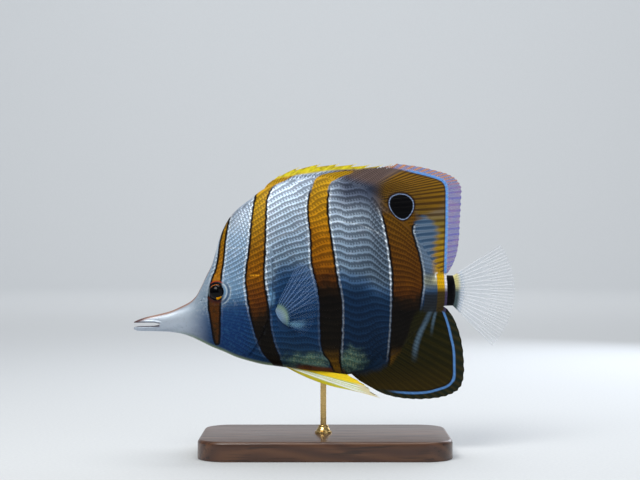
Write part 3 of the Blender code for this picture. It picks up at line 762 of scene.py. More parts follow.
    def stalk(self, ground: Field) -> Field:
        """The white, yellow and black bars of the tail stalk and the cream root of the tail fin, painted in
        shade on the lower stalk, with a painted highlight.
        """
        on = self.on
        near = on.window(up=(-9.5, -8, 7, 7.6))
        lit = near * on.up.rise(-0.8, 3)
        bulge = on.up * on.up
        along = on.along + bulge * 0.006 + on.noise(2) * 0.4 - 0.2
        # Where a bar is drawn over near and again over lit, the near colour is painted shade and the lit colour
        # is the bar where the light falls.
        bars = (
            (121.8, 127.6, (138, 142, 120), near * on.up.hill(4.4, 4.4) * 0.75),
            # Painted shade on the lower stalk before the yellow bar.
            (121.8, 127.6, (36, 40, 44), near * on.up.rise(1, -2) * 0.9),
            (124.4, 127.4, (214, 206, 160), near * on.up.hill(4.8, 2.6) * on.along.rise(124, 127) * 0.8),
            # A painted highlight.
            (126.4, 127.8, (232, 232, 222), on.spot(*self.STALK_GLINT).rise(1.2, 0.6)),
            (127.2, 130.6, (64, 52, 26), near),
            (127.2, 130.6, (222, 172, 18), lit),
            (130.4, 131.5, (72, 64, 92), near),
            (130.4, 131.5, (230, 232, 240), lit),
            (133, 138, (74, 92, 96), near),
            (133, 138, (206, 200, 140), lit),
        )
        for front, rear, colour, where in bars:
            bar = (along - front).rise(-0.2, 0.2) * (along - rear).rise(0.2, -0.2)
            ground = ground.painted(colour, bar * where)
        black = (along - 131.4).rise(-0.15, 0.15) * (on.along + bulge * 0.025 - 134.9).rise(0.15, -0.15)
        return ground.painted((4, 4, 6), black * near)

    def paint(self) -> tuple[Field, Field, Field, Field]:
        """Lays the colours one over another.

        Returns:
            The colour, where it is silver, where a fin's membrane is clear and how strongly scales are edged.
        """
        on, inside, plain = self.on, self.depth, self.golden.off()
        crisp = on.window(up=(40, 45), along=(56, 60)) * -0.9 + 1
        soft = inside.rise(-0.15, 0.15)
        copper = self.copper()
        # A painted highlight at the top of the gill opening.
        slit = (on.up - 6.8).hill(0, 0.6) * on.window(along=(48.6, 49.4, 52.4, 53.6))
        colour = self.belly_tints(self.face_tints(self.base())).coats(
            (self.WHITE_LINE, self.halo() * crisp),
            (self.BLACK_EDGE, soft * plain * crisp),
            (copper, inside.rise(0.5, 1.2) * plain),
            (copper, inside.rise(-4, 4) * self.golden),
        )
        colour = self.ocellus(self.anal_fin(self.soft_dorsal(colour))).painted((222, 150, 30), slit)
        silver = soft.off() * plain * self.olive.off() * self.false_eye.off() * self.patch.off()
        # Less silver sheen in the painted shade below the shade line.
        silver = silver * (self.lit * 0.85 + 0.15) * on.along.rise(128, 124)
        faint = on.along.rise(50, 42) * (on.up.rise(12, 2) * 0.45 + 0.2)
        # Weaker scale edging in the painted shade, and on the face and near the tail.
        contrast = (self.lit * 0.2 + 0.8) * faint.off() * (on.along.rise(117, 121) * -0.5 + 1)
        return self.stalk(self.eye_tints(colour)), silver, self.clear, contrast


# ---- Finishes


@dataclass(frozen=True)
class Finish:
    """A surface's plain numbers, and the material that its pattern is drawn in."""

    name: str
    roughness: float = 0.4
    metallic: float = 0.0
    coat: float = 0.0
    coat_roughness: float = 0.12
    specular: float = 0.5
    relief: float = 0.05
    emboss: float = 0.5
    marks: NodeTree | None = None

    def pattern(self, on: Surface) -> dict[str, Field]:
        """What varies over the surface: fields for the shader's sockets, and Height for the relief."""
        raise NotImplementedError

    def make(self) -> Material:
        """Makes the material.

        Returns:
            The material, with the pattern feeding its shader.
        """
        material = bpy.data.materials.new(self.name)
        material.use_nodes = True
        tree = material.node_tree
        shader = tree.nodes["Principled BSDF"]
        fields = self.pattern(Surface(tree))
        bump = tree.nodes.new("ShaderNodeBump")
        bump.inputs["Strength"].default_value = self.emboss
        bump.inputs["Distance"].default_value = self.relief * MM
        feed(bump.inputs["Height"], fields.pop("Height"))
        tree.links.new(bump.outputs[0], shader.inputs["Normal"])
        numbers = {
            "Roughness": self.roughness, "Metallic": self.metallic, "Coat Weight": self.coat,
            "Coat Roughness": self.coat_roughness, "Specular IOR Level": self.specular,
        }
        for name, value in (numbers | fields).items():
            feed(shader.inputs[name], value)
        return material


class SkinFinish(Finish):
    """Bare skin with the fish's markings, a silver sheen and fine wrinkles."""

    def pattern(self, on: Surface) -> dict[str, Field]:
        """Markings under a faint mottle."""
        marks = on.group(self.marks)
        return {
            "Base Color": marks["Colour"].painted((60, 66, 80), on.noise(0.9, 3).rise(0.52, 0.75) * 0.25),
            "Metallic": marks["Silver"] * 0.3,
            "Roughness": on.noise(2.5) * 0.22 + 0.3,
            "Height": on.noise(0.7, 3) + on.noise(2.4) * 1.5,
        }


class ScaleFinish(Finish):
    """Scales with the fish's markings, dark round their edges, partly their own colour and partly painted
    shade, with a painted sheen.
    """

    def pattern(self, on: Surface) -> dict[str, Field]:
        """Markings, with each scale pale in the middle as a painted sheen and dark at its edge, partly painted
        shade.
        """
        marks = on.group(self.marks)
        along, across, tone = (on.attribute(name) for name in ("scale_along", "scale_across", "scale_tone"))
        own, silver, contrast = marks["Colour"], marks["Silver"], marks["Contrast"]
        # Painted sheen: pale lines along each scale's sides and a paler middle.
        line = across.rise(-0.4, -0.58).most(across.rise(0.7, 0.8))
        # Dark band and rear tick, partly the scale's own pigment and partly painted shade; the dark root is
        # painted shade under the scale before.
        shade = across.hill(0.3, 0.5).rise(0, 0.8) * 0.68
        ticks = along.rise(0.8, 0.98).most(along.rise(0.66, 0.5)) * 0.72
        dark = shade.most(ticks) * line.off()
        light = (line * 0.55 + dark.off() * (tone * 0.15 + 0.15)) * contrast
        colour = own.painted((48, 54, 74), dark * (silver * 0.15 + 0.7) * contrast, "MULTIPLY")
        return {
            "Base Color": colour.painted(own, light * (silver * 0.5 + 0.4), "ADD"),
            "Metallic": silver * 0.25,
            "Roughness": tone * 0.1 + 0.36,
            "Height": across.wave(3) * 0.6 + on.noise(0.4) * 0.8,
        }


class BandedFinFinish(Finish):
    """The soft back fin and the anal fin: markings, rays and a clear margin."""

    def pattern(self, on: Surface) -> dict[str, Field]:
        """Markings with a paler crest on each ray."""
        marks = on.group(self.marks)
        ray, out = on.attribute("ray"), on.attribute("out")
        crest = ray.wave(1).rise(0.6, 1)
        return {
            "Base Color": marks["Colour"].painted(marks["Colour"], crest * out * 0.18, "ADD"),
            "Alpha": marks["Clear"] * (crest * -0.5 + 1) * -0.5 + 1,
            "Roughness": on.noise(1.6) * 0.2 + 0.34,
            "Height": ray.wave(4) * 0.4 + out.wave(36) * crest * 0.6 + on.noise(0.5) * 0.6,
        }


@dataclass(frozen=True)
class ClearFinFinish(Finish):
    """A glassy fin with pale rays, solid at the root."""

    root: float = 0.1
    cover: float = 0.1
    ray_cover: float = 0.5
    middle: float = 8.0
    bow: float = 0.0
    lobe: float = 0.0
    last_ray: float = 99.0
    tint: Colour = (196, 210, 226)
    ray_tint: Colour = (242, 246, 252)

    # The root lobe's colours outwards: a pale painted highlight, then greener and darker into the fan.
    LOBE = ((0, (104, 136, 172)), (0.08, (140, 166, 184)), (0.14, (132, 158, 140)), (0.24, (66, 108, 120)))

    def pattern(self, on: Surface) -> dict[str, Field]:
        """Rays in a clear membrane, a fleshy lobe at the root with a painted highlight and shade, and a painted
        sheen below the last clear ray.
        """
        ray, out, crest = (on.attribute(name) for name in ("ray", "out", "crest"))
        colour = crest.ramp(((0, self.tint), (0.7, self.ray_tint), (1, self.ray_tint)))
        if self.marks:
            own = on.group(self.marks)["Colour"]
            colour = colour.painted(own, out.rise(self.root * 1.6, self.root * 0.8))
        across = (ray - self.middle) * (1 / self.middle)
        out = out + across * across * self.bow
        # The lobe, painted darker towards the lower rays as shade.
        lobe = out.ramp(self.LOBE).painted((40, 84, 104), ray.rise(6.5, 12) * 0.7)
        shown = ray.rise(self.last_ray + 2, self.last_ray - 1)
        # A painted sheen on the membrane below the last clear ray.
        painted_sheen = ray.hill(self.last_ray + 4.5, 1.8) * out.rise(0.1, 0.3) * out.rise(0.95, 0.6)
        rays = crest.rise(0.35, 1) * shown * self.ray_cover
        film = (shown * 0.75 + 0.25) * self.cover + painted_sheen * 0.3
        alpha = (rays + film) * (out.rise(0.3, 1) * -0.45 + 1)
        return {
            "Base Color": colour.coats((lobe, out.rise(0.26, 0.16) * self.lobe), ((118, 168, 200), painted_sheen)),
            "Alpha": alpha.most(out.rise(self.root * 2.4, self.root)),
            "Roughness": on.noise(1.6) * 0.2 + 0.28,
            "Height": out.wave(44) * crest * 0.7 + ray.wave(5) * 0.3 + on.noise(0.6) * 0.5,
        }


@dataclass(frozen=True)
class YellowFinFinish(Finish):
    """Yellow spines and membranes, running to white where the fin does."""

    white: bool = False

    YELLOWS = ((0, (190, 138, 10)), (0.3, (222, 190, 8)), (0.75, (232, 218, 14)), (1, (212, 186, 24)))

    def pattern(self, on: Surface) -> dict[str, Field]:
        """Yellow, painted darker between the rays as shade and brighter on them as a highlight, deeper at the
        root, and the body's own colours under a scaly sheath.
        """
        ray, out, crest = (on.attribute(name) for name in ("ray", "out", "crest"))
        patches = on.noise(2.2, 3)
        colour = (out + patches * 0.4 - 0.2).ramp(self.YELLOWS)
        if self.white:
            pale = ray.rise(0.3, 0.5) * ray.rise(3, 2.4) * (out.rise(0.02, 0.16) * 0.8 + 0.2)
            streaks = crest.rise(0.05, 0.5).most(ray.hill(0.62, 0.22)).most(ray.hill(1.5, 0.2))
            colour = colour.coats(
                ((186, 178, 26), ray.rise(1, 0.2) * 0.7),
                ((250, 216, 6), ray.rise(2.3, 3.2) * out.rise(0.2, 0.55)),
                ((190, 206, 124), pale),
                ((246, 248, 244), pale * streaks.rise(0.1, 0.8)),
                ((222, 212, 168), out.rise(0.8, 0.92) * ray.rise(3.4, 2.4)),
            )
        else:
            # Painted shade on the membrane between the spines, and a painted highlight along each spine.
            between = crest.off() * patches.rise(0.35, 0.65)
            colour = colour.coats(((130, 104, 14), between * 0.6), ((250, 236, 70), crest * 0.4))
        if self.marks:
            bare = on.up - on.along.curve(SHEATH_LINE)
            colour = on.group(self.marks)["Colour"].painted(colour, bare.rise(-0.5, 0.5))
        return {
            "Base Color": colour,
            "Roughness": patches * 0.2 + 0.32,
            "Height": out.wave(30) * 0.4 + on.noise(0.5, 3),
        }


@dataclass(frozen=True)
class EyeFinish(Finish):
    """A glossy eye: black pupil, dark iris with gold at its lower rear and along its top."""

    along: float = 35.4
    up: float = -0.1

    IRIS = ((0, (16, 9, 8)), (1.1, (26, 14, 10)), (1.3, (18, 14, 20)), (1.7, (12, 10, 14)))

    def pattern(self, on: Surface) -> dict[str, Field]:
        """Pupil, iris and the gold in it."""
        pupil = on.spot(self.along - 0.1, self.up + 0.25, 2.75, 2.5)
        behind, fibres = on.along - self.along, on.noise(0.5)
        gold = on.spot(self.along + 1.1, self.up - 2.65, 1.5, 1).rise(1.05, 0.85)
        colour = pupil.ramp(self.IRIS).coats(
            ((255, 172, 12), gold * (fibres * 0.4 + 0.8)),
            ((204, 112, 36), pupil.hill(1.1, 0.07) * (on.up - self.up).rise(1.3, 2.3) * 0.85),
            ((176, 192, 196), pupil.hill(1.14, 0.08) * behind.rise(1.2, 2.2) * 0.8),
            ((2, 2, 4), pupil.rise(1.05, 0.99)),
            ((92, 108, 118), behind.rise(-2.9, -3.5)),
        )
        return {"Base Color": colour, "Roughness": fibres * 0.1 + 0.12, "Height": fibres * pupil.rise(1, 1.1)}


class WoodFinish(Finish):
    """Dark oiled wood with its grain along the base."""

    def pattern(self, on: Surface) -> dict[str, Field]:
        """Long rings, fine pores and a satin polish."""
        warp = on.noise(46, 3, (0.35, 1, 1))
        rings = (on.side * 0.22 + on.up * 0.14 + warp * 9).wave(1)
        pores = on.noise(1.1, 2, (0.06, 1, 1))
        colour = rings.ramp(((0, (70, 42, 27)), (0.55, (82, 50, 31)), (1, (94, 60, 37))))
        return {
            "Base Color": colour.painted((34, 20, 13), pores.rise(0.56, 0.7) * 0.7),
            "Roughness": pores * 0.25 + 0.26,
            "Height": pores.off() + rings * 0.3,
        }


class BrassFinish(Finish):
    """Turned brass, lightly brushed."""

    def pattern(self, on: Surface) -> dict[str, Field]:
        """Warm metal with fine turning marks and a little tarnish."""
        turning = on.noise(0.5, 2, (0.2, 0.2, 3))
        tarnish = on.noise(4, 3).rise(0.5, 0.8)
        colour = turning.ramp(((0.3, (206, 170, 104)), (0.7, (226, 194, 128))))
        return {
            "Base Color": colour.painted((150, 112, 60), tarnish * 0.35),
            "Roughness": turning * 0.16 + 0.2,
            "Height": turning,
        }


class PaperFinish(Finish):
    """The studio's pale paper."""

    def pattern(self, on: Surface) -> dict[str, Field]:
        """A pale grey with barely any grain."""
        colour = on.noise(1.4, 3).ramp(((0.3, (198, 202, 206)), (0.7, (204, 208, 211))))
        return {"Base Color": colour, "Height": on.noise(3)}


# ---- Meshes


class Slot(Enum):
    """The record's material slots."""

    SKIN = "skin"
    YELLOW = "yellow_fin"
    BANDED = "banded_fin"
    CLEAR = "clear_fin"
    EYE = "eye"
    WOOD = "base_wood"
    METAL = "stand_metal"


def coordinates(data: Mesh) -> Array:
    """A mesh's points as rows of x, y and z."""
    flat = np.empty(len(data.vertices) * 3, np.float32)
    data.vertices.foreach_get("co", flat)
    return flat.reshape(-1, 3).astype(np.float64)


def set_coordinates(data: Mesh, points: Array) -> None:
    """Moves a mesh's points, and turns the mesh the right side out if they leave it inside out."""
    data.vertices.foreach_set("co", points.astype(np.float32).ravel())
    data.update()
    data.calc_loop_triangles()
    corners = np.empty(len(data.loop_triangles) * 3, np.int32)
    data.loop_triangles.foreach_get("vertices", corners)
    a, b, c = (points[corners.reshape(-1, 3)[:, k]] for k in range(3))
    if np.einsum("ij,ij->i", a, np.cross(b, c)).sum() < 0:
        data.flip_normals()


def set_attribute(data: Mesh, name: str, values: Array) -> None:
    """Keeps a number at each of a mesh's points."""
    made = data.attributes.new(name, "FLOAT", "POINT")
    made.data.foreach_set("value", np.ascontiguousarray(values, np.float32).ravel())


def linked(name: str, data: ID) -> Object:
    """Puts data in the scene as a new object."""
    made = bpy.data.objects.new(name, data)
    bpy.context.scene.collection.objects.link(made)
    return made


def add_piece(
    name: str, data: Mesh, material: Material,
    nodes: Iterable[str] = (), sharp: float = 60.0,
) -> None:
    """Puts a finished mesh in the scene as a piece of the model.

    Args:
        name: The piece's name.
        data: Its mesh, in place.
        material: Its material.
        nodes: The solids that it replaces.
        sharp: The angle, in degrees, past which an edge is kept sharp.
    """
    piece = linked(name, data)
    data.name = name
    data.materials.append(material)
    data.shade_smooth()
    data.set_sharp_from_angle(angle=math.radians(sharp))
    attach(piece, BODY)
    if nodes:
        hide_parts(*nodes)
    LOG.info("%s: %d faces", name, len(data.polygons))


def finished(mesh: BMesh) -> Mesh:
    """Faces a form outwards, keeps it as mesh data and frees it."""
    bmesh.ops.recalc_face_normals(mesh, faces=mesh.faces[:])
    data = bpy.data.meshes.new("form")
    mesh.to_mesh(data)
    mesh.free()
    return data


def spun(profile: Points, steps: int, weld: float, closed: bool = True) -> BMesh:
    """Turns a profile round the upright axis.

    Args:
        profile: Its (radius, height) points.
        steps: The number of steps in the full turn.
        weld: How close points lie that become one.
        closed: Whether the last point is joined to the first.

    Returns:
        The form.
    """
    mesh = bmesh.new()
    line = [mesh.verts.new((radius, 0.0, height)) for radius, height in profile]
    edges = [mesh.edges.new(pair) for pair in zip(line, line[1:] + line[:1] if closed else line[1:])]
    bmesh.ops.spin(
        mesh, geom=line + edges, cent=(0, 0, 0), axis=(0, 0, 1), angle=math.tau, steps=steps,
        use_merge=True, use_duplicate=False,
    )
    bmesh.ops.remove_doubles(mesh, verts=mesh.verts[:], dist=weld)
    return mesh


def two_faced_grid(columns: int, rows: int, shape: Callable[[BMesh], None] | None = None) -> Mesh:
    """A closed sheet on the unit square: z is 0 on its left face and 1 on its right face.

    Args:
        columns: The number of cells along x.
        rows: The number of cells along y.
        shape: Changes the flat grid before it gets its second face.

    Returns:
        The mesh.
    """
    mesh = bmesh.new()
    bmesh.ops.create_grid(mesh, x_segments=columns, y_segments=rows, size=0.5)
    bmesh.ops.translate(mesh, verts=mesh.verts[:], vec=(0.5, 0.5, 0.0))
    if shape:
        shape(mesh)
    made = bmesh.ops.extrude_face_region(mesh, geom=mesh.faces[:])
    second = [item for item in made["geom"] if isinstance(item, BMVert)]
    bmesh.ops.translate(mesh, verts=second, vec=(0.0, 0.0, 1.0))
    return finished(mesh)


# ---- Body


@dataclass(frozen=True)
class Flank:
    """The skin's form: half the body's thickness at each place on its side."""

    inset: float = 0.15
    eye_along: float = 34.9
    eye_up: float = -0.2
    eye_sunk: float = 1.12
    brow_swell: float = 0.7
    brow_reach: float = 5.0
    gill_lift: float = 0.5
    gill_flap: float = 7.0
    gill_above: float = 8.8
    gill_below: float = 12.6
    socket_radius: float = 2.75
    socket_depth: float = 3.4

    # Each nostril's place along and up, and its size.
    NOSTRILS = ((30.2, -2.6, 0.5), (28.6, -3.9, 0.4))

    def lines(self, along: Array) -> tuple[Array, Array]:
        """The belly line and the back line, drawn in by the inset."""
        low = belly_line(along) + self.inset * np.minimum(belly_line.stretch(along), 3.0)
        high = back_line(along) - self.inset * np.minimum(back_line.stretch(along), 3.0)
        return low, high

    def share(self, along: Array, up: Array) -> Array:
        """How far up the body a place is, 0 at the belly line and 1 at the back line."""
        low, high = self.lines(along)
        return np.clip((up - low) / (high - low), 0.0, 1.0)

    def gill_edge(self, share: Array) -> Array:
        """Where the gill cover ends, as a place along, for a level on the flank."""
        above = np.clip((share - WIDEST_SHARE) / (1 - WIDEST_SHARE), 0, 1)
        below = np.clip((WIDEST_SHARE - share) / WIDEST_SHARE, 0, 1)
        return GILL_REARMOST - self.gill_above * above**2 - self.gill_below * below**2

    def plain(self, along: Array, up: Array) -> Array:
        """The thickness without the small features."""
        low, high = self.lines(along)
        share = np.clip((up - low) / (high - low), 0.0, 1.0)
        upper = share > WIDEST_SHARE
        off = share - WIDEST_SHARE
        reach = np.where(upper, off / (1 - WIDEST_SHARE), -off / WIDEST_SHARE)
        edge = np.where(upper, back_edge(along), belly_edge(along))
        power = np.where(upper, back_roundness(along), belly_roundness(along))
        gap = np.where(upper, (high - up) / back_line.stretch(along), (up - low) / belly_line.stretch(along))
        full = (1 - np.minimum(reach, 1.0) ** 2) ** power
        brow = self.brow_swell * swell(np.hypot(along - self.eye_along, up - self.eye_up), self.brow_reach)
        rim = edge - self.inset
        return rim * rounded(gap / rim) + (half_width(along) - edge + brow) * full

    def mouth(self, along: Array, up: Array) -> Array:
        """How far a place is from the open mouth."""
        middle = (mouth_roof(along) + mouth_floor(along)) / 2
        gape = (mouth_roof(along) - mouth_floor(along)) / 2
        return np.hypot(np.maximum(along - MOUTH_CORNER, 0.0), np.maximum(np.abs(up - middle) - gape, 0.0))

    def half(self, along: Array, up: Array) -> Array:
        """The thickness with gill cover, lips, nostrils, folds and the eye's socket."""
        half = self.plain(along, up)
        share = self.share(along, up)
        past = along - self.gill_edge(share)
        fade = ease((0.72 - share) / 0.12) * ease(share / 0.06)
        flap = ease((past + self.gill_flap) / self.gill_flap) * (1 - ease(past / 0.4))
        half = half + self.gill_lift * flap * fade
        half = half - 0.22 * swell(past - 0.7, 0.45) * fade * (past > 0)
        cheek = np.abs(along - 46.5 + 0.012 * (up + 8) ** 2)
        half = half - 0.16 * swell(cheek, 0.7) * ease((8 - up) / 6) * ease((up + 25) / 6)
        lips = self.mouth(along, up)
        near = ease((14.0 - along) / 3.0)
        half = half + near * (0.1 * swell(lips - 0.55, 0.4) - 0.05 * swell(lips - 1.3, 0.3))
        lip_round = blend(1.0, rounded((lips + 0.03) / blend(0.75, 0.35, ease((along - 8.5) / 2.0))), near)
        half = half * lip_round * rounded((along + 0.12) / 1.1) * rounded((STALK_END + 0.25 - along) / 1.5)
        for pit_along, pit_up, size in self.NOSTRILS:
            far = np.hypot(along - pit_along, up - pit_up)
            half = half - 0.55 * swell(far, size * 0.8) + 0.1 * swell(far - size * 1.5, 0.22)
        far = np.hypot(along - self.eye_along, up - self.eye_up)
        ring = 0.1 * swell(far - 5.3, 0.45) + 0.07 * swell(far - 6.6, 0.4)
        half = half + ring * ease((along - self.eye_along + 1.0) / 3.0)
        return half - self.socket_depth * (1 - ease((far - self.socket_radius) / 0.75))

    def point(self, along: Array, up: Array, lift: Array, face: float) -> Array:
        """A place on the skin, lifted off it along its normal.

        Args:
            along: Places along.
            up: Places up.
            lift: Heights off the skin.
            face: -1 for the left side and 1 for the right.

        Returns:
            The places in metres.
        """
        low, high = self.lines(along)
        up = np.clip(up, low + 0.02, high - 0.02)
        half, step = self.half(along, up), 0.3
        lean_along = (self.plain(along + step, up) - self.plain(along - step, up)) / (2 * step)
        lean_up = (self.plain(along, up + step) - self.plain(along, up - step)) / (2 * step)
        length = np.sqrt(1 + lean_along**2 + lean_up**2)
        side = half + lift / length
        return world(along - lean_along / length * lift, face * side, up - lean_up / length * lift)


@dataclass
class Skin:
    """One skin over jaws, snout, head, trunk and tail stalk, with the mouth open in it."""

    flank: Flank
    finish: SkinFinish
    columns: int = 166
    rows: int = 88
    end: float = STALK_END + 0.2
    mouth_row: int = 39
    split_to: float = 61.5
    eye_zone: Place = (33.2, -1.0, 7.4)

    def __post_init__(self) -> None:
        """Sets the columns closer at the mouth, the eye, the gill slit and the stalk."""
        places = np.linspace(0.0, self.end, 2400)
        density = 1.0 + 1.3 * swell(places - 34.0, 9.0) + 6.0 * swell(places - 58.8, 1.2)
        density += 1.5 * swell(places, 5.0) + 1.5 * swell(places - self.end, 2.5)
        total = np.concatenate([[0.0], np.cumsum((density[1:] + density[:-1]) / 2)])
        self.stations = np.interp(np.linspace(0, total[-1], self.columns + 1), total, places)
        for exact in (MOUTH_CORNER, GILL_REARMOST):
            self.stations[np.abs(self.stations - exact).argmin()] = exact

    def station(self, column: Array) -> Array:
        """The place along of a column from 0 to 1."""
        return np.interp(column * self.columns, np.arange(self.columns + 1), self.stations)

    def level(self, along: Array, row: Array) -> tuple[Array, Array]:
        """Places along and up for a row from 0 to 1, with the rows parted round the mouth."""
        share = swing(row)
        pull = swell(along - GILL_REARMOST, 16.0)
        along = along + pull * (self.flank.gill_edge(share) - GILL_REARMOST)
        low, high = self.flank.lines(along)
        body = blend(low, high, share)
        split_low, split_high = self.mouth_row / self.rows, (self.mouth_row + 1) / self.rows
        lower = blend(low, mouth_floor(along), swing(np.clip(row / split_low, 0, 1)))
        upper_row = np.clip((row - split_high) / (1 - split_high), 0, 1)
        upper = blend(mouth_roof(along), high, swing(upper_row))
        jaws = np.where(row <= split_low + 1e-6, lower, upper)
        between = (row > split_low + 1e-6) & (row < split_high - 1e-6)
        cross = blend(mouth_floor(along), mouth_roof(along), (row - split_low) * self.rows)
        jaws = np.where(between, cross, jaws)
        return along, blend(jaws, body, ease((along - MOUTH_CORNER) / 7.0))

    def shape_grid(self, mesh: BMesh) -> None:
        """Opens the mouth and splits the cells of the head, and again those round the eye."""
        gape = (self.mouth_row + 0.5) / self.rows
        open_cells = [
            cell for cell in mesh.faces
            if abs(cell.calc_center_median().y - gape) < 0.4 / self.rows
            and self.station(cell.calc_center_median().x) < MOUTH_CORNER
        ]
        bmesh.ops.delete(mesh, geom=open_cells, context="FACES")
        middle_along, middle_up, reach = self.eye_zone
        for near in (
            lambda along, up: along < self.split_to,
            lambda along, up: np.hypot(along - middle_along, up - middle_up) < reach,
        ):
            mesh.verts.ensure_lookup_table()
            flat = np.array([corner.co[:2] for corner in mesh.verts])
            inside = near(*self.level(self.station(flat[:, 0]), flat[:, 1]))
            edges = [edge for edge in mesh.edges if all(inside[corner.index] for corner in edge.verts)]
            bmesh.ops.subdivide_edges(mesh, edges=edges, cuts=1, use_grid_fill=True)
            mesh.verts.index_update()

    def build(self) -> None:
        """Makes the skin, which replaces the solids of flesh."""
        data = two_faced_grid(self.columns, self.rows, self.shape_grid)
        flat = coordinates(data)
        along, up = self.level(self.station(flat[:, 0]), flat[:, 1])
        half = np.maximum(self.flank.half(along, up), 0.04)
        set_coordinates(data, world(along, np.where(flat[:, 2] > 0.5, half, -half), up))
        set_attribute(data, "ray", np.full(len(flat), Markings.NEUTRAL_RAY))
        nodes = ("upper_jaw", "lower_jaw", "snout", "head", "trunk", "tail_stalk")
        add_piece("skin", data, self.finish.make(), nodes)


# ---- Scales


@dataclass(frozen=True)
class ScaleShape:
    """One scale as a thin plate with a rounded rear edge: x runs 0 to 1 along it and y -1 to 1 across."""

    cells_along: int = 4
    cells_across: int = 4

    def cut(self) -> tuple[Array, Array]:
        """Makes the plate.

        Returns:
            Its points, with z 1 on its top and 0 on its underside, and its triangles.
        """
        mesh = bmesh.new()
        bmesh.ops.create_grid(mesh, x_segments=self.cells_along, y_segments=self.cells_across, size=0.5)
        bmesh.ops.translate(mesh, verts=mesh.verts[:], vec=(0.5, 0.0, 1.0))
        bmesh.ops.scale(mesh, verts=mesh.verts[:], vec=(1.0, 2.0, 1.0))
        for corner in mesh.verts:
            across = corner.co.y
            corner.co.x *= 0.5 + 0.5 * math.sqrt(1 - (0.98 * across) ** 2)
        made = bmesh.ops.extrude_face_region(mesh, geom=mesh.faces[:])
        lower = [item for item in made["geom"] if isinstance(item, BMVert)]
        underside = [item for item in made["geom"] if isinstance(item, BMFace)]
        bmesh.ops.translate(mesh, verts=lower, vec=(0.0, 0.0, -1.0))
        bmesh.ops.dissolve_faces(mesh, faces=underside)
        bmesh.ops.recalc_face_normals(mesh, faces=mesh.faces[:])
        bmesh.ops.triangulate(mesh, faces=mesh.faces[:])
        points = np.array([corner.co[:] for corner in mesh.verts])
        triangles = np.array([[corner.index for corner in face.verts] for face in mesh.faces])
        mesh.free()
        return points, triangles


@dataclass
class ScaleRoots:
    """Where scales grow, which way they point and how large they are."""

    first: Array
    second: Array
    lean: Array
    length: Array
    width: Array
    relief: Array
    skew: Array
    ray: Array | None = None

    def chosen(self, keep: Array) -> "ScaleRoots":
        """Only the roots where keep is true."""
        return ScaleRoots(*(None if item is None else item[keep] for item in vars(self).values()))


class ScaleLayer:
    """Lays one scale shape at many roots and joins them into a piece."""

    def __init__(self, finish: ScaleFinish, seed: int = 7) -> None:
        """Cuts the scale and makes its material."""
        self.points, self.triangles = ScaleShape().cut()
        self.material = finish.make()
        self.draw = np.random.default_rng(seed)

    def lay(self, name: str, roots: ScaleRoots, coat: "FlankCoat | FinCoat", face: float) -> None:
        """Makes one piece of coat.

        Args:
            name: The piece's name.
            roots: Where the scales grow.
            coat: Gives the scales' places and their unwrap.
            face: -1 for the left side and 1 for the right.
        """
        x, y, top = self.points.T
        count = len(roots.first)
        run = roots.length[:, None] * x
        across = roots.width[:, None] * y / 2 * (0.8 + 0.2 * x)
        ahead = run * np.cos(roots.lean)[:, None] - across * (np.sin(roots.lean) + roots.skew)[:, None]
        above = run * np.sin(roots.lean)[:, None] + across * np.cos(roots.lean)[:, None]
        crown = 0.3 * (1 - y**2)
        lift = roots.relief[:, None] * np.where(top > 0.5, -0.35 + 1.35 * x + crown, -0.9)
        where = coat.place(roots, ahead, above, lift, face)
        points = where.reshape(-1, 3)
        faces = (self.triangles[None] + np.arange(count)[:, None, None] * len(x)).reshape(-1, 3)
        if face < 0:
            faces = faces[:, ::-1]
        data = bpy.data.meshes.new(name)
        data.vertices.add(len(points))
        data.loops.add(faces.size)
        data.polygons.add(len(faces))
        data.loops.foreach_set("vertex_index", faces.ravel().astype(np.int32))
        data.polygons.foreach_set("loop_start", np.arange(0, faces.size, 3, dtype=np.int32))
        data.update(calc_edges=True)
        data.vertices.foreach_set("co", points.astype(np.float32).ravel())
        set_attribute(data, "scale_along", np.tile(x, count))
        set_attribute(data, "scale_across", np.tile(y, count))
        set_attribute(data, "scale_tone", np.repeat(self.draw.random(count), len(x)))
        ray = np.full(count, Markings.NEUTRAL_RAY) if roots.ray is None else roots.ray
        set_attribute(data, "ray", np.repeat(ray, len(x)))
        patch = np.stack([x - 0.5, y / 2], axis=-1) * PATCH
        spots = (coat.unwrap(roots)[:, None] + patch[None]).reshape(-1, 2)
        chart = data.uv_layers.new(name="OFBake")
        chart.uv.foreach_set("vector", spots[faces.ravel()].astype(np.float32).ravel())
        add_piece(name, data, self.material, sharp=50.0)


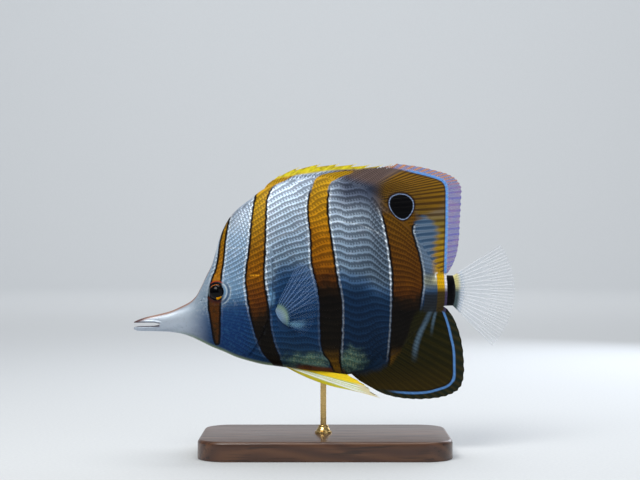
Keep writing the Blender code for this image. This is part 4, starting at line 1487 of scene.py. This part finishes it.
@dataclass
class FlankCoat:
    """Scales in rows that arch along the flank, smaller on the head and towards the fins and the tail."""

    flank: Flank
    layer: ScaleLayer
    row_step: float = 2.7
    top_step: float = 2.5
    jitter: float = 0.03
    relief: float = 0.13
    slit_top: float = 0.66
    rear_from: float = 86.0

    # By place along: the scales' spacing, and how far the rows spread and rise.
    PITCH = (
        (26, 0.8), (36, 0.86), (46, 0.95), (58, 1.1), (75, 1.15), (100, 1.1), (115, 1), (128, 0.9), (135, 0.85),
    )
    SPREAD = (
        (20, 0.4), (30, 0.52), (38, 0.66), (44, 0.77), (50, 0.9), (58, 0.98), (74, 1.06), (86, 1.13),
        (97, 1.12), (106, 0.94), (115, 0.76), (128, 0.56), (136, 0.5),
    )
    ARCH = (
        (20, -9), (40, -8.6), (50, -7.8), (56, -6.3), (64, -3.8), (72, -1.8), (80, 0), (88, 0), (98, -1.4),
        (112, -3.4), (135, -4.5),
    )
    # By level: how far forward scales grow on the face.
    FACE_EDGE = ((-28, 34), (-20, 31.5), (-10, 30.6), (-2, 29), (6, 31.5), (16, 35.5))
    # The breast fin's root, free of scales, as (along, up, half length, half height).
    BREAST_ROOT = (61.8, -10.6, 3.2, 5.2)

    def __post_init__(self) -> None:
        """Makes curves of the tables."""
        tables = (self.PITCH, self.SPREAD, self.ARCH, self.FACE_EDGE)
        self.pitch, self.spread, self.arch, self.face_edge = (SmoothCurve(points) for points in tables)

    def row_level(self, row: Array) -> Array:
        """The level of a row at the widest part of the body; rows lie closer near the back."""
        counts = np.arange(-40, 81)
        steps = blend(self.row_step, self.top_step, ease((counts * self.row_step - 16.0) / 26.0))
        levels = np.cumsum(steps)
        return np.interp(row, counts, levels - levels[40])

    def flow(self, along: Array, row: Array) -> Array:
        """How high a row runs at a place along."""
        level = self.row_level(row)
        weight = ease((level + 30.0) / 45.0)
        behind = ease((along - 82) / 8)
        roll = 0.8 * np.cos(math.tau * (along - 99.5) / 16.3 + 0.05 * (level - 8)) * self.spread(along)
        ripple = 0.26 * np.sin(along / 2.1 + level * 0.4) * ease((along - 58) / 10)
        wave = blend(ripple, roll, behind)
        return level * self.spread(along) + self.arch(along) * weight + wave

    def roots(self) -> ScaleRoots:
        """Works out every scale of one side."""
        stations = [24.0]
        while stations[-1] < STALK_END:
            stations.append(stations[-1] + float(self.pitch(np.array(stations[-1]))))
        marks = np.array(stations)
        rows = np.arange(-28, 60)
        row, number = np.meshgrid(rows, np.arange(len(marks) - 1), indexing="ij")
        shift = np.where(row % 2 == 0, 0.0, 0.5)
        draw = self.layer.draw
        pitch = self.pitch(marks[number])
        along = marks[number] + (shift + draw.normal(0, self.jitter, row.shape)) * pitch
        up = self.flow(along, row)
        height = self.flow(along, row + 0.5) - self.flow(along, row - 0.5)
        up = up + draw.normal(0, self.jitter, row.shape) * height
        lean = np.arctan2(self.flow(along + 0.5, row) - self.flow(along - 0.5, row), 1.0)
        head = ease((62.0 - along) / 22.0)
        relief = self.relief * np.clip(pitch / 1.35, 0.5, 1.0) * (1 - 0.4 * head)
        length = pitch * 2.0
        share = self.flank.share(along, up)
        to_slit = self.flank.gill_edge(share) - 0.12 - along
        length = np.where((share < self.slit_top) & (to_slit > 0.7), np.minimum(length, to_slit), length)
        skew = 0.3 * ease((along - 60.0) / 4.0) * ease((126.0 - along) / 8.0)
        made = ScaleRoots(*(item.ravel() for item in (along, up, lean, length, height * 1.36, relief, skew)))
        return made.chosen(self.room(made))

    def room(self, roots: ScaleRoots) -> Array:
        """Which roots lie where scales grow."""
        along, up, length = roots.first, roots.second, roots.length
        low, high = self.flank.lines(along)
        low_end, high_end = self.flank.lines(along + length * np.where(along > 78.0, 0.35, 1.0))
        half = roots.width * 0.4
        inside = up - half > np.maximum(low, low_end) + 0.25
        inside &= up + half < np.minimum(high, high_end) - 0.2
        inside &= along > self.face_edge(up)
        eye = np.hypot(along + length / 2 - self.flank.eye_along, up - self.flank.eye_up)
        share = self.flank.share(along, up)
        edge = self.flank.gill_edge(share)
        slit = (share < self.slit_top) & (along < edge + 0.12) & (along + length > edge - 0.1)
        root_along, root_up, wide, tall = self.BREAST_ROOT
        root = ((along - root_along) / wide) ** 2 + ((up - root_up) / tall) ** 2
        end = along + length < STALK_END - 0.3
        return inside & (eye > 5.2 + length / 2) & ~slit & (root > 1.0) & end

    def place(self, roots: ScaleRoots, ahead: Array, above: Array, lift: Array, face: float) -> Array:
        """Places on the skin for offsets from the roots."""
        return self.flank.point(roots.first[:, None] + ahead, roots.second[:, None] + above, lift, face)

    def unwrap(self, roots: ScaleRoots) -> Array:
        """Each root's place along the skin and round it, measured over its curve."""
        along, up = roots.first, roots.second
        steps = np.linspace(0.0, 1.0, 60)
        levels = blend(np.zeros_like(up), up, steps[:, None])
        halves = self.flank.plain(along[None], levels)
        girth = np.hypot(np.diff(levels, axis=0), np.diff(halves, axis=0)).sum(axis=0) * np.sign(up)
        return np.stack([UNWRAP_MARGIN + along / UNWRAP_ALONG, 0.5 + girth / UNWRAP_ALONG], axis=-1)

    def build(self) -> None:
        """Lays the scales of both sides, the head's apart from the trunk's."""
        roots = self.roots()
        LOG.info("flank scales a side: %d", len(roots.first))
        head, rear = roots.first < GILL_REARMOST, roots.first >= self.rear_from
        for face, side in SIDES:
            for part, keep in (("head", head), ("trunk", ~head & ~rear), ("rear", rear)):
                self.layer.lay(f"scales_{part}_{side}", roots.chosen(keep), self, face)


# ---- Fins


@dataclass
class RayedFin:
    """A fin as one sheet with its rays raised on both faces, forked towards the rim."""

    name: str
    finish: Finish
    slot: Slot
    nodes: tuple[str, ...]
    rays: int = 20
    cells: int = 12
    rows: int = 48
    membrane: float = 0.11
    ridge: float = 0.15
    root_half: float = 0.95
    fork: float = 0.42
    scallop: float = 0.012
    streaked: bool = True

    def run(self, where: Array, out: Array) -> tuple[Array, Array, Array]:
        """The sheet's middle as places along, side and up: where runs 0 to 1 over the rays, out to the rim."""
        raise NotImplementedError

    def crest(self, where: Array, out: Array) -> Array:
        """1 on a ray and 0 between rays."""
        ray = where * (self.rays - 1)
        off = ray - np.round(ray)
        apart = 0.23 * ease((out - self.fork) / 0.35)
        twin = np.maximum(swell(off - apart, 0.085), swell(off + apart, 0.085))
        return blend(swell(off, 0.14), twin, ease((out - self.fork) / 0.12))

    def half(self, where: Array, out: Array) -> Array:
        """Half the sheet's thickness."""
        fillet = (self.root_half - self.membrane) * (1 - np.clip(out, 0, 1)) ** 2.5
        ray = self.ridge * (1 - 0.6 * out) * self.crest(where, out)
        side = rounded(np.minimum(where, 1 - where) * (self.rays - 1) / 0.5 + 0.05)
        rim = 1 - 0.65 * ease((out - 0.95) / 0.05)
        return ((self.membrane + ray) * rim + fillet) * (0.15 + 0.85 * side)

    def reach(self, where: Array) -> Array:
        """How far out the rim is, drawn in a little between rays."""
        ray = where * (self.rays - 1)
        return 1.0 - self.scallop * (0.5 - 0.5 * np.cos(math.tau * ray))

    def point(self, where: Array, out: Array, lift: Array, face: Array) -> Array:
        """A place on one face of the fin, in metres."""
        along, side, up = self.run(where, out)
        return world(along, side + face * (self.half(where, out) + lift), up)

    def build(self) -> None:
        """Makes the fin."""
        data = two_faced_grid((self.rays - 1) * self.cells, self.rows)
        flat = coordinates(data)
        where, out = flat[:, 0], flat[:, 1] ** 0.9
        face = np.where(flat[:, 2] > 0.5, 1.0, -1.0)
        set_coordinates(data, self.point(where, out * self.reach(where), np.zeros_like(out), face))
        neutral = np.full(len(flat), Markings.NEUTRAL_RAY)
        set_attribute(data, "ray", where * (self.rays - 1) if self.streaked else neutral)
        set_attribute(data, "out", out)
        set_attribute(data, "crest", self.crest(where, out))
        add_piece(self.name, data, self.finish.make(), self.nodes)


def ridge_root(line: SmoothCurve, along: Array, outward: float, gap: float) -> tuple[Array, Array]:
    """A place off the body's outline by a gap: outward is 1 on the back and -1 below."""
    slope = line.slope(along)
    length = np.hypot(1.0, slope)
    return along - outward * slope / length * gap, line(along) + outward / length * gap


@dataclass
class MedianFin(RayedFin):
    """A fin in the middle plane, on the back or under the belly."""

    keys: Points = ()
    line: SmoothCurve = back_line
    outward: float = 1.0
    sunk: float = 0.8
    flutter: float = 0.1

    def __post_init__(self) -> None:
        """Makes curves of the rays' roots and tips."""
        self.curves = curves_of(self.keys)

    def run(self, where: Array, out: Array) -> tuple[Array, Array, Array]:
        """Straight rays from roots sunk in the body, with a faint flutter towards the rim."""
        start_along, start_up = ridge_root(self.line, self.curves[0](where), self.outward, -self.sunk)
        along = blend(start_along, self.curves[1](where), out)
        up = blend(start_up, self.curves[2](where), out)
        side = self.flutter * np.sin(where * 13.0 + out * 2.0) * out
        return along, side, up


@dataclass
class TailFin(RayedFin):
    """The tail fin, a fan from the end of the stalk."""

    centre: tuple[float, float] = (127.7, 0.4)
    radius: float = 32.7
    fan_up: float = 36.0
    fan_down: float = -46.0
    root_height: float = 6.0

    def run(self, where: Array, out: Array) -> tuple[Array, Array, Array]:
        """Rays that spread from the stalk, the middle ones a little shorter."""
        turn = np.radians(blend(self.fan_up, self.fan_down, where))
        root_up = blend(self.root_height, -self.root_height + 0.4, where)
        short = self.radius - 0.5 * np.sin(np.pi * where)
        along = blend(STALK_END - 1.6, self.centre[0] + short * np.cos(turn), out)
        up = blend(root_up, self.centre[1] + short * np.sin(turn), out)
        return along, 0.15 * np.sin(where * 11.0) * out, up

    def half(self, where: Array, out: Array) -> Array:
        """Thickest in the middle of the root, so that it closes on the stalk."""
        plain = super().half(where, out)
        return plain + (1.9 * dome(where) + 0.25 - self.root_half) * (1 - out) ** 5


@dataclass
class PectoralFin(RayedFin):
    """A breast fin: a fan that stands off the flank from a fleshy root."""

    flank: Flank = Flank()
    face: float = -1.0
    flare: float = 0.5
    root_top: tuple[float, float] = (59.6, -6.8)
    root_foot: tuple[float, float] = (64.3, -14.2)

    def __post_init__(self) -> None:
        """Makes curves of the rays' tips."""
        self.tips = curves_of(PECTORAL_TIPS)

    def run(self, where: Array, out: Array) -> tuple[Array, Array, Array]:
        """Rays from a short slanting root, lifting away from the flank."""
        root_along, root_up = (blend(top, foot, where) for top, foot in zip(self.root_top, self.root_foot))
        start = root_along + (0.9 - 2.0 * dome(where)) * (1 - ease(out / 0.15))
        along = blend(start, self.tips[0](where), out)
        up = blend(root_up, self.tips[1](where), out)
        reach = np.hypot(along - root_along, up - root_up)
        off = blend(-0.7, 0.85, ease(out / 0.12)) + self.flare * reach
        side = self.face * (self.flank.plain(root_along, root_up) + 0.15 + off)
        return along, side, up

    def half(self, where: Array, out: Array) -> Array:
        """A plump root that thins quickly into the fan."""
        return super().half(where, out) + 0.75 * dome(where) * swell(out - 0.06, 0.1)


@dataclass
class PelvicFin(RayedFin):
    """A belly fin: a spine and five rays swept back, the first ray drawn out into a thread."""

    face: float = -1.0
    lift: float = 0.0

    def __post_init__(self) -> None:
        """Makes curves of the rays' roots, tips and bows."""
        self.curves = curves_of(PELVIC_RAYS)

    def run(self, where: Array, out: Array) -> tuple[Array, Array, Array]:
        """Rays from under the belly, bowed and splayed out to their side."""
        root, tip_along, tip_up, bow = (curve(where) for curve in self.curves)
        start_along, start_up = ridge_root(belly_line, root, -1.0, -0.9)
        turn = math.radians(self.lift)
        run, drop = tip_along - start_along, tip_up - start_up
        run, drop = run * math.cos(turn) - drop * math.sin(turn), run * math.sin(turn) + drop * math.cos(turn)
        along = start_along + run * out
        up = start_up + drop * out - bow * 4 * out * (1 - out)
        side = self.face * (1.75 + blend(0.16, 0.05, where) * (along - start_along))
        return along, side, up

    def reach(self, where: Array) -> Array:
        """The rim, notched between the rays."""
        ray = where * (self.rays - 1)
        gap = np.clip(np.floor(ray).astype(int), 0, len(PELVIC_NOTCHES) - 1)
        notch = 1 - np.array(PELVIC_NOTCHES)[gap]
        return 1 - notch * (1 - np.abs(2 * (ray - gap) - 1) ** 1.2)


@dataclass
class SpinyFin(MedianFin):
    """The spiny front of the back fin: nine stout spines with a notched membrane behind each."""

    before: float = 0.94
    behind: float = 0.78
    spine_radius: float = 0.44

    def reach(self, where: Array) -> Array:
        """The rim, which drops behind each spine and climbs to the next."""
        ray = where * (self.rays - 1)
        gap = np.minimum(np.floor(ray + 1e-6), self.rays - 2)
        top = np.where(gap > self.rays - 2.5, 1.0, self.before)
        return blend(self.behind, top, np.clip(ray - gap, 0, 1) ** 1.5)

    def build(self) -> None:
        """Makes the membrane and the spines."""
        super().build()
        self.add_spines()

    def add_spines(self) -> None:
        """Makes the tapered, slightly bowed spines as one piece."""
        mesh = bmesh.new()
        for root, *tip in DORSAL_SPINES:
            foot = [float(value) for value in ridge_root(back_line, np.array(root), 1.0, -1.6)]
            before = len(mesh.verts)
            bmesh.ops.create_cone(mesh, cap_ends=True, segments=14, radius1=1.0, radius2=1.0, depth=1.0)
            mesh.verts.ensure_lookup_table()
            ring = set(mesh.verts[before:])
            own = [edge for edge in mesh.edges if set(edge.verts) <= ring]
            long_edges = [edge for edge in own if abs(edge.verts[0].co.z - edge.verts[1].co.z) > 0.5]
            bmesh.ops.subdivide_edges(mesh, edges=long_edges, cuts=9)
            mesh.verts.ensure_lookup_table()
            run = Vector((tip[0] - foot[0], 0.0, tip[1] - foot[1]))
            across = Vector((-run.z, 0.0, run.x)).normalized()
            for corner in mesh.verts[before:]:
                share = corner.co.z + 0.5
                thick = self.spine_radius * (1 - 0.82 * share) * (1.0 if share < 0.999 else 0.35)
                bow = across * (0.35 * math.sin(math.pi * share))
                spot = run * share + bow + across * corner.co.x * thick + Vector((0, corner.co.y * thick, 0))
                corner.co = world(foot[0] + spot.x, spot.y, foot[1] + spot.z)
        data = finished(mesh)
        for attribute, value in (("out", 0.6), ("crest", 0.8)):
            set_attribute(data, attribute, np.full(len(data.vertices), value))
        add_piece("dorsal_spines", data, self.finish.make())


@dataclass
class FinCoat:
    """Small scales in rows along a fin's rays, from its root towards the rim."""

    fin: MedianFin
    layer: ScaleLayer
    pitch: float = 0.95
    rows_per_ray: float = 2.0
    reach: float = 0.5
    relief: float = 0.075
    limit: SmoothCurve | None = None

    def apart(self, first: tuple[float, float], second: tuple[float, float]) -> float:
        """How far apart two (where, out) places on the fin lie, seen from the side."""
        here, there = (self.fin.run(*map(np.array, place)) for place in (first, second))
        return math.hypot(float(here[0] - there[0]), float(here[2] - there[2]))

    def roots(self) -> ScaleRoots:
        """Works out every scale of one face, where and out being the fin's own coordinates."""
        count = int((self.fin.rays - 1) * self.rows_per_ray)
        first, second, length, width = [], [], [], []
        for row in range(1, count):
            where = row / count
            long = self.apart((where, 1.0), (where, 0.0))
            for step in np.arange(1.0 + self.pitch * (row % 2) / 2, long * self.reach, self.pitch):
                out = float(step / long)
                gap = self.apart(((row + 0.5) / count, out), ((row - 0.5) / count, out))
                fade = 1 - 0.45 * float(ease(out / self.reach))
                first.append(where)
                second.append(out)
                length.append(self.pitch * 1.6 * fade)
                width.append(min(gap * 1.15, 1.7) * fade)
        made = [np.array(values) for values in (first, second, length, width)]
        relief = self.relief * (1 - 0.7 * ease(made[1] / self.reach))
        ray = made[0] * (self.fin.rays - 1) if self.fin.streaked else None
        straight = np.zeros(len(relief))
        laid = ScaleRoots(made[0], made[1], straight, made[2], made[3], relief, straight, ray)
        if self.limit is None:
            return laid
        along, _, up = self.fin.run(made[0], made[1])
        return laid.chosen(up + 0.7 * laid.length < self.limit(along))

    def place(self, roots: ScaleRoots, ahead: Array, above: Array, lift: Array, face: float) -> Array:
        """Places on the fin's face for offsets along and across the ray at each root."""
        where, out, step = roots.first, roots.second, 1e-3
        spots = ((where, out), (where + step, out), (where, out + step))
        here, beside, further = (np.stack(self.fin.run(*spot)[::2]) for spot in spots)
        by_where, by_out = (beside - here) / step, (further - here) / step
        unit = by_out / np.hypot(*by_out)
        goal = unit[:, :, None] * ahead + np.stack([-unit[1], unit[0]])[:, :, None] * above
        area = (by_where[0] * by_out[1] - by_where[1] * by_out[0])[:, None]
        to_where = (goal[0] * by_out[1][:, None] - goal[1] * by_out[0][:, None]) / area
        to_out = (by_where[0][:, None] * goal[1] - by_where[1][:, None] * goal[0]) / area
        at = np.clip(where[:, None] + to_where, 0.0, 1.0)
        reach = np.clip(out[:, None] + to_out, 0.0, 0.98)
        return self.fin.point(at, reach, lift, face)

    def unwrap(self, roots: ScaleRoots) -> Array:
        """Each root's place on the fin, laid out flat beyond the body's unwrap."""
        along, _, up = self.fin.run(roots.first, roots.second)
        return np.stack([UNWRAP_MARGIN + along / UNWRAP_ALONG, 0.5 + up / UNWRAP_FIN], axis=-1)

    def build(self) -> None:
        """Lays the scales of both faces."""
        roots = self.roots()
        LOG.info("%s scales a side: %d", self.fin.name, len(roots.first))
        for face, side in SIDES:
            self.layer.lay(f"scales_{self.fin.name}_{side}", roots, self, face)


# ---- Eyes


@dataclass
class Eye:
    """A glossy eyeball and the rim of skin that it sits in."""

    flank: Flank
    finish: EyeFinish
    skin: Material
    radius: float = 3.45
    depth: float = 2.56
    segments: int = 64

    def seat(self, face: float) -> Matrix:
        """The eyeball's place and tilt on one side of the head."""
        solid = Flank(inset=0.0)
        along, up, step = self.flank.eye_along, self.flank.eye_up, 0.5

        def height(a: float, u: float) -> float:
            """Half the head's thickness at a place along and up."""
            return float(solid.plain(np.array(a), np.array(u)))

        lean_along = (height(along + step, up) - height(along - step, up)) / (2 * step)
        lean_up = (height(along, up + step) - height(along, up - step)) / (2 * step)
        normal = Vector((-lean_along, face, -lean_up)).normalized()
        turn = normal.to_track_quat("Z", "Y").to_matrix().to_4x4()
        centre = world(along, face * (height(along, up) - self.flank.eye_sunk), up)
        return Matrix.Translation(Vector(centre)) @ turn

    def eyeball(self, face: float, side: str) -> None:
        """Makes the eyeball, with the pupil's lens swelling a little through it."""
        mesh = bmesh.new()
        bmesh.ops.create_uvsphere(mesh, u_segments=self.segments, v_segments=40, radius=1.0)
        for corner in mesh.verts:
            across = math.hypot(corner.co.x, corner.co.y)
            lens = 0.16 * math.exp(-((across / 0.72) ** 4)) if corner.co.z > 0 else 0.0
            dish = -0.05 * math.exp(-(((across - 0.84) / 0.09) ** 2)) if corner.co.z > 0 else 0.0
            corner.co.z = corner.co.z * (self.depth - 0.16) + lens + dish
            corner.co.xy *= self.radius
        bmesh.ops.scale(mesh, verts=mesh.verts[:], vec=(MM, MM, MM))
        bmesh.ops.transform(mesh, matrix=self.seat(face), verts=mesh.verts[:])
        nodes = (f"eye_{side}",)
        add_piece(f"eyeball_{side}", finished(mesh), self.finish.make(), nodes, sharp=80.0)

    def lid(self, face: float, side: str) -> None:
        """Makes the rim, a soft ring that follows the skin."""
        profile = (
            (3.3, -0.9), (3.3, -0.2), (3.36, 0.12), (3.5, 0.3), (3.72, 0.36), (3.95, 0.28), (4.2, 0.14),
            (4.5, 0.03), (4.8, -0.06), (4.8, -0.5), (4.0, -0.9),
        )
        data = finished(spun(profile, self.segments, weld=1e-4))
        x, y, lift = coordinates(data).T
        along, up = self.flank.eye_along + x * 0.985, self.flank.eye_up + y
        base = self.flank.plain(along, up)
        set_coordinates(data, world(along, face * (base + lift), up))
        add_piece(f"eye_rim_{side}", data, self.skin)

    def build(self) -> None:
        """Makes both eyes."""
        for face, side in SIDES:
            self.eyeball(face, side)
            self.lid(face, side)


# ---- Stand


@dataclass
class Stand:
    """The wooden base, the brass rod into the belly and the turned collar at its foot."""

    wood: WoodFinish
    brass: BrassFinish
    length: float = 104.0
    width: float = 60.0
    height: float = 8.0
    corner: float = 12.0
    rod_along: float = 79.5
    rod_radius: float = 1.25

    def base(self) -> None:
        """Makes the base: a board with round corners, a rounded top edge and a finely bevelled foot."""
        mesh = bmesh.new()
        size = Matrix.Diagonal((self.length * MM, self.width * MM, self.height * MM, 1.0))
        bmesh.ops.create_cube(mesh, size=1.0, matrix=Matrix.Translation((0, 0, self.height * MM / 2)) @ size)
        uprights = [e for e in mesh.edges if abs(e.verts[0].co.z - e.verts[1].co.z) > MM]
        self.soften(mesh, uprights, self.corner, 16)
        for level, offset, segments in ((self.height, 1.4, 5), (0.0, 0.35, 2)):
            rim = [e for e in mesh.edges if all(abs(v.co.z - level * MM) < 1e-6 for v in e.verts)]
            self.soften(mesh, rim, offset, segments)
        add_piece("base_board", finished(mesh), self.wood.make(), ("stand_base",), sharp=30.0)

    def soften(self, mesh: BMesh, edges: list[BMEdge], offset: float, segments: int) -> None:
        """Rounds edges by an offset in millimetres."""
        bmesh.ops.bevel(
            mesh, geom=edges, offset=offset * MM, segments=segments, profile=0.5, affect="EDGES", material=-1
        )

    def turned(self, name: str, profile: Points, nodes: tuple[str, ...]) -> None:
        """Makes a turned piece round the rod's axis from a closed (radius, height) profile."""
        mesh = spun([(radius * MM, height * MM) for radius, height in profile], 64, weld=1e-6)
        rod_x = (self.rod_along - TOTAL_LENGTH / 2) * MM
        bmesh.ops.translate(mesh, verts=mesh.verts[:], vec=(rod_x, 0.0, 0.0))
        add_piece(name, finished(mesh), self.brass.make(), nodes, sharp=35.0)

    def build(self) -> None:
        """Makes the whole stand."""
        self.base()
        top = float(belly_line(np.array(self.rod_along))) + AXIS_HEIGHT
        r, foot = self.rod_radius, self.height
        low, high = foot - 4.6, top + 6.0
        self.turned("support_rod", ((0.0, low), (r, low), (r, high), (0.0, high)), ("stand_rod",))
        collar = [(r + 0.05, -0.4), (3.5, -0.4), (3.55, 0.5), (3.45, 0.8), (3.05, 1.0)]
        collar += [(2.95 - 0.9 * ease(np.array(t)), 1.0 + 2.0 * t) for t in np.linspace(0, 1, 8)]
        collar += [(2.1, 3.2), (1.95, 3.4), (r + 0.05, 3.4)]
        self.turned("rod_collar", [(float(wide), foot + float(up)) for wide, up in collar], ("stand_collar",))


# ---- Studio


@dataclass
class Studio:
    """A pale sweep of paper, soft lights and the camera at the photograph's angle."""

    paper: PaperFinish
    distance: float = 0.6347
    across: float = -0.0021
    level: float = 0.0890
    lens: float = 85.0

    # Each lamp's name, place, size, power and tint, and its aim where that isn't the fish.
    LAMPS = (
        ("key", (-0.25, -0.42, 0.62), 0.35, 3.9, (255, 252, 246)),
        ("fill", (0.55, -0.65, 0.28), 0.7, 0.8, (236, 242, 255)),
        ("top", (0.1, 0.15, 0.75), 0.5, 3.2, (255, 255, 255)),
        ("rim", (0.35, 0.5, 0.3), 0.4, 1.4, (240, 246, 255)),
        ("backdrop", (0.0, 1.3, 1.9), 1.4, 40.0, (255, 255, 255), (0.0, 2.9, 0.5)),
    )

    def camera(self) -> None:
        """Looks level along +Y at the fish's left side."""
        data = bpy.data.cameras.new("camera")
        data.lens = self.lens
        data.sensor_width = 36.0
        data.clip_start = 0.01
        camera = linked("camera", data)
        camera.location = (self.across, -self.distance, self.level)
        camera.rotation_euler = (math.radians(90), 0.0, 0.0)
        bpy.context.scene.camera = camera

    def sweep(self) -> None:
        """Makes floor and backdrop in one sheet, curved up all round like a bowl."""
        floor, bend, wall = 2.2, 0.9, 0.1
        turns = np.linspace(0.0, math.pi / 2, 14)
        profile = [(0.0, 0.0), (0.7, 0.0), (1.5, 0.0)]
        profile += [(floor + bend * math.sin(turn), bend * (1 - math.cos(turn))) for turn in turns]
        profile += [(floor + bend, bend + wall)]
        data = finished(spun(profile, 72, weld=1e-5, closed=False))
        data.flip_normals()
        data.shade_smooth()
        data.materials.append(self.paper.make())
        linked("paper_sweep", data)

    def light(
        self, name: str, place: Place, size: float, power: float, tint: Colour, aim: Place = (0.0, 0.0, 0.07)
    ) -> None:
        """Adds a soft square light that points at the fish, or at another place."""
        data = bpy.data.lights.new(name, "AREA")
        data.size = size
        data.energy = power
        data.color = linear(tint)[:3]
        lamp = linked(name, data)
        lamp.location = place
        lamp.rotation_euler = (Vector(aim) - Vector(place)).to_track_quat("-Z", "Y").to_euler()

    def build(self) -> None:
        """Sets up the studio."""
        self.camera()
        self.sweep()
        for lamp in self.LAMPS:
            self.light(*lamp)
        world_light = bpy.data.worlds.new("studio")
        world_light.use_nodes = True
        back = world_light.node_tree.nodes["Background"]
        back.inputs["Color"].default_value = linear((222, 226, 232))
        back.inputs["Strength"].default_value = 0.3
        scene = bpy.context.scene
        scene.world = world_light
        scene.view_settings.view_transform = "Standard"
        scene.view_settings.look = "None"


def main() -> None:
    """Builds the studio, then the fish from skin to fins, and its stand."""
    logging.basicConfig(level=logging.INFO, format="%(name)s: %(message)s")
    Studio(PaperFinish("studio_paper", roughness=0.8, emboss=0.1)).build()
    marks = Markings().tree
    flank = Flank()
    Skin(flank, SkinFinish("fish_skin", specular=0.12, relief=0.06, marks=marks)).build()
    layer = ScaleLayer(ScaleFinish("fish_scales", specular=0.08, relief=0.03, marks=marks))
    FlankCoat(flank, layer).build()
    banded = BandedFinFinish("banded_fin", specular=0.08, marks=marks)
    dorsal = MedianFin("dorsal_fin", banded, Slot.BANDED, ("dorsal_fin_soft",), rays=29, keys=DORSAL_RAYS)
    anal = MedianFin(
        "anal_fin_sheet", banded, Slot.BANDED, ("anal_fin",), rays=23, keys=ANAL_RAYS, line=belly_line,
        outward=-1.0,
    )
    for fin in (dorsal, anal):
        fin.build()
        FinCoat(fin, layer).build()
    spiny = SpinyFin(
        "dorsal_spine_membrane", YellowFinFinish("yellow_spines", specular=0.35, marks=marks), Slot.YELLOW,
        ("dorsal_fin_spines",), rays=10, rows=24, membrane=0.13, ridge=0.1, flutter=0.0, streaked=False,
        keys=(*DORSAL_SPINES, SPINY_FIN_END),
    )
    spiny.build()
    FinCoat(spiny, layer, rows_per_ray=4.0, reach=0.95, limit=SmoothCurve(SHEATH_LINE)).build()
    tail_glass = ClearFinFinish(
        "tail_glass", specular=0.3, root=0.11, cover=0.14, ray_cover=0.42, marks=marks,
    )
    TailFin(
        "tail_fan", tail_glass, Slot.CLEAR, ("tail_fin",), rays=17, cells=14, rows=60, root_half=0.6,
    ).build()
    breast_glass = ClearFinFinish(
        "breast_glass", specular=0.2, root=0.12, cover=0.3, ray_cover=0.33, middle=6.5, bow=0.1, lobe=0.9,
        last_ray=6.5, tint=(46, 84, 132), ray_tint=(120, 150, 194),
    )
    for (face, side), lift in zip(SIDES, (0.0, -0.9)):
        PectoralFin(
            f"breast_fin_{side}", breast_glass, Slot.CLEAR, (f"pectoral_fin_{side}",), rays=14, root_half=1.1,
            flank=flank, face=face,
        ).build()
        PelvicFin(
            f"belly_fin_{side}", YellowFinFinish("belly_yellow", specular=0.35, white=True), Slot.YELLOW,
            (f"pelvic_fin_{side}",), rays=6, cells=14, rows=60, root_half=0.75, ridge=0.2, fork=2.0,
            face=face, lift=lift,
        ).build()
    eye_skin = SkinFinish("eye_rim_skin", specular=0.1, relief=0.04, marks=marks).make()
    eye_gloss = EyeFinish("fish_eye", coat=0.18, coat_roughness=0.04, specular=0.06, relief=0.02)
    Eye(flank, eye_gloss, eye_skin).build()
    wood = WoodFinish("oiled_wood", coat=0.3, relief=0.06, emboss=0.35)
    Stand(wood, BrassFinish("turned_brass", metallic=1.0, relief=0.02, emboss=0.3)).build()


if __name__ == "__main__":
    main()
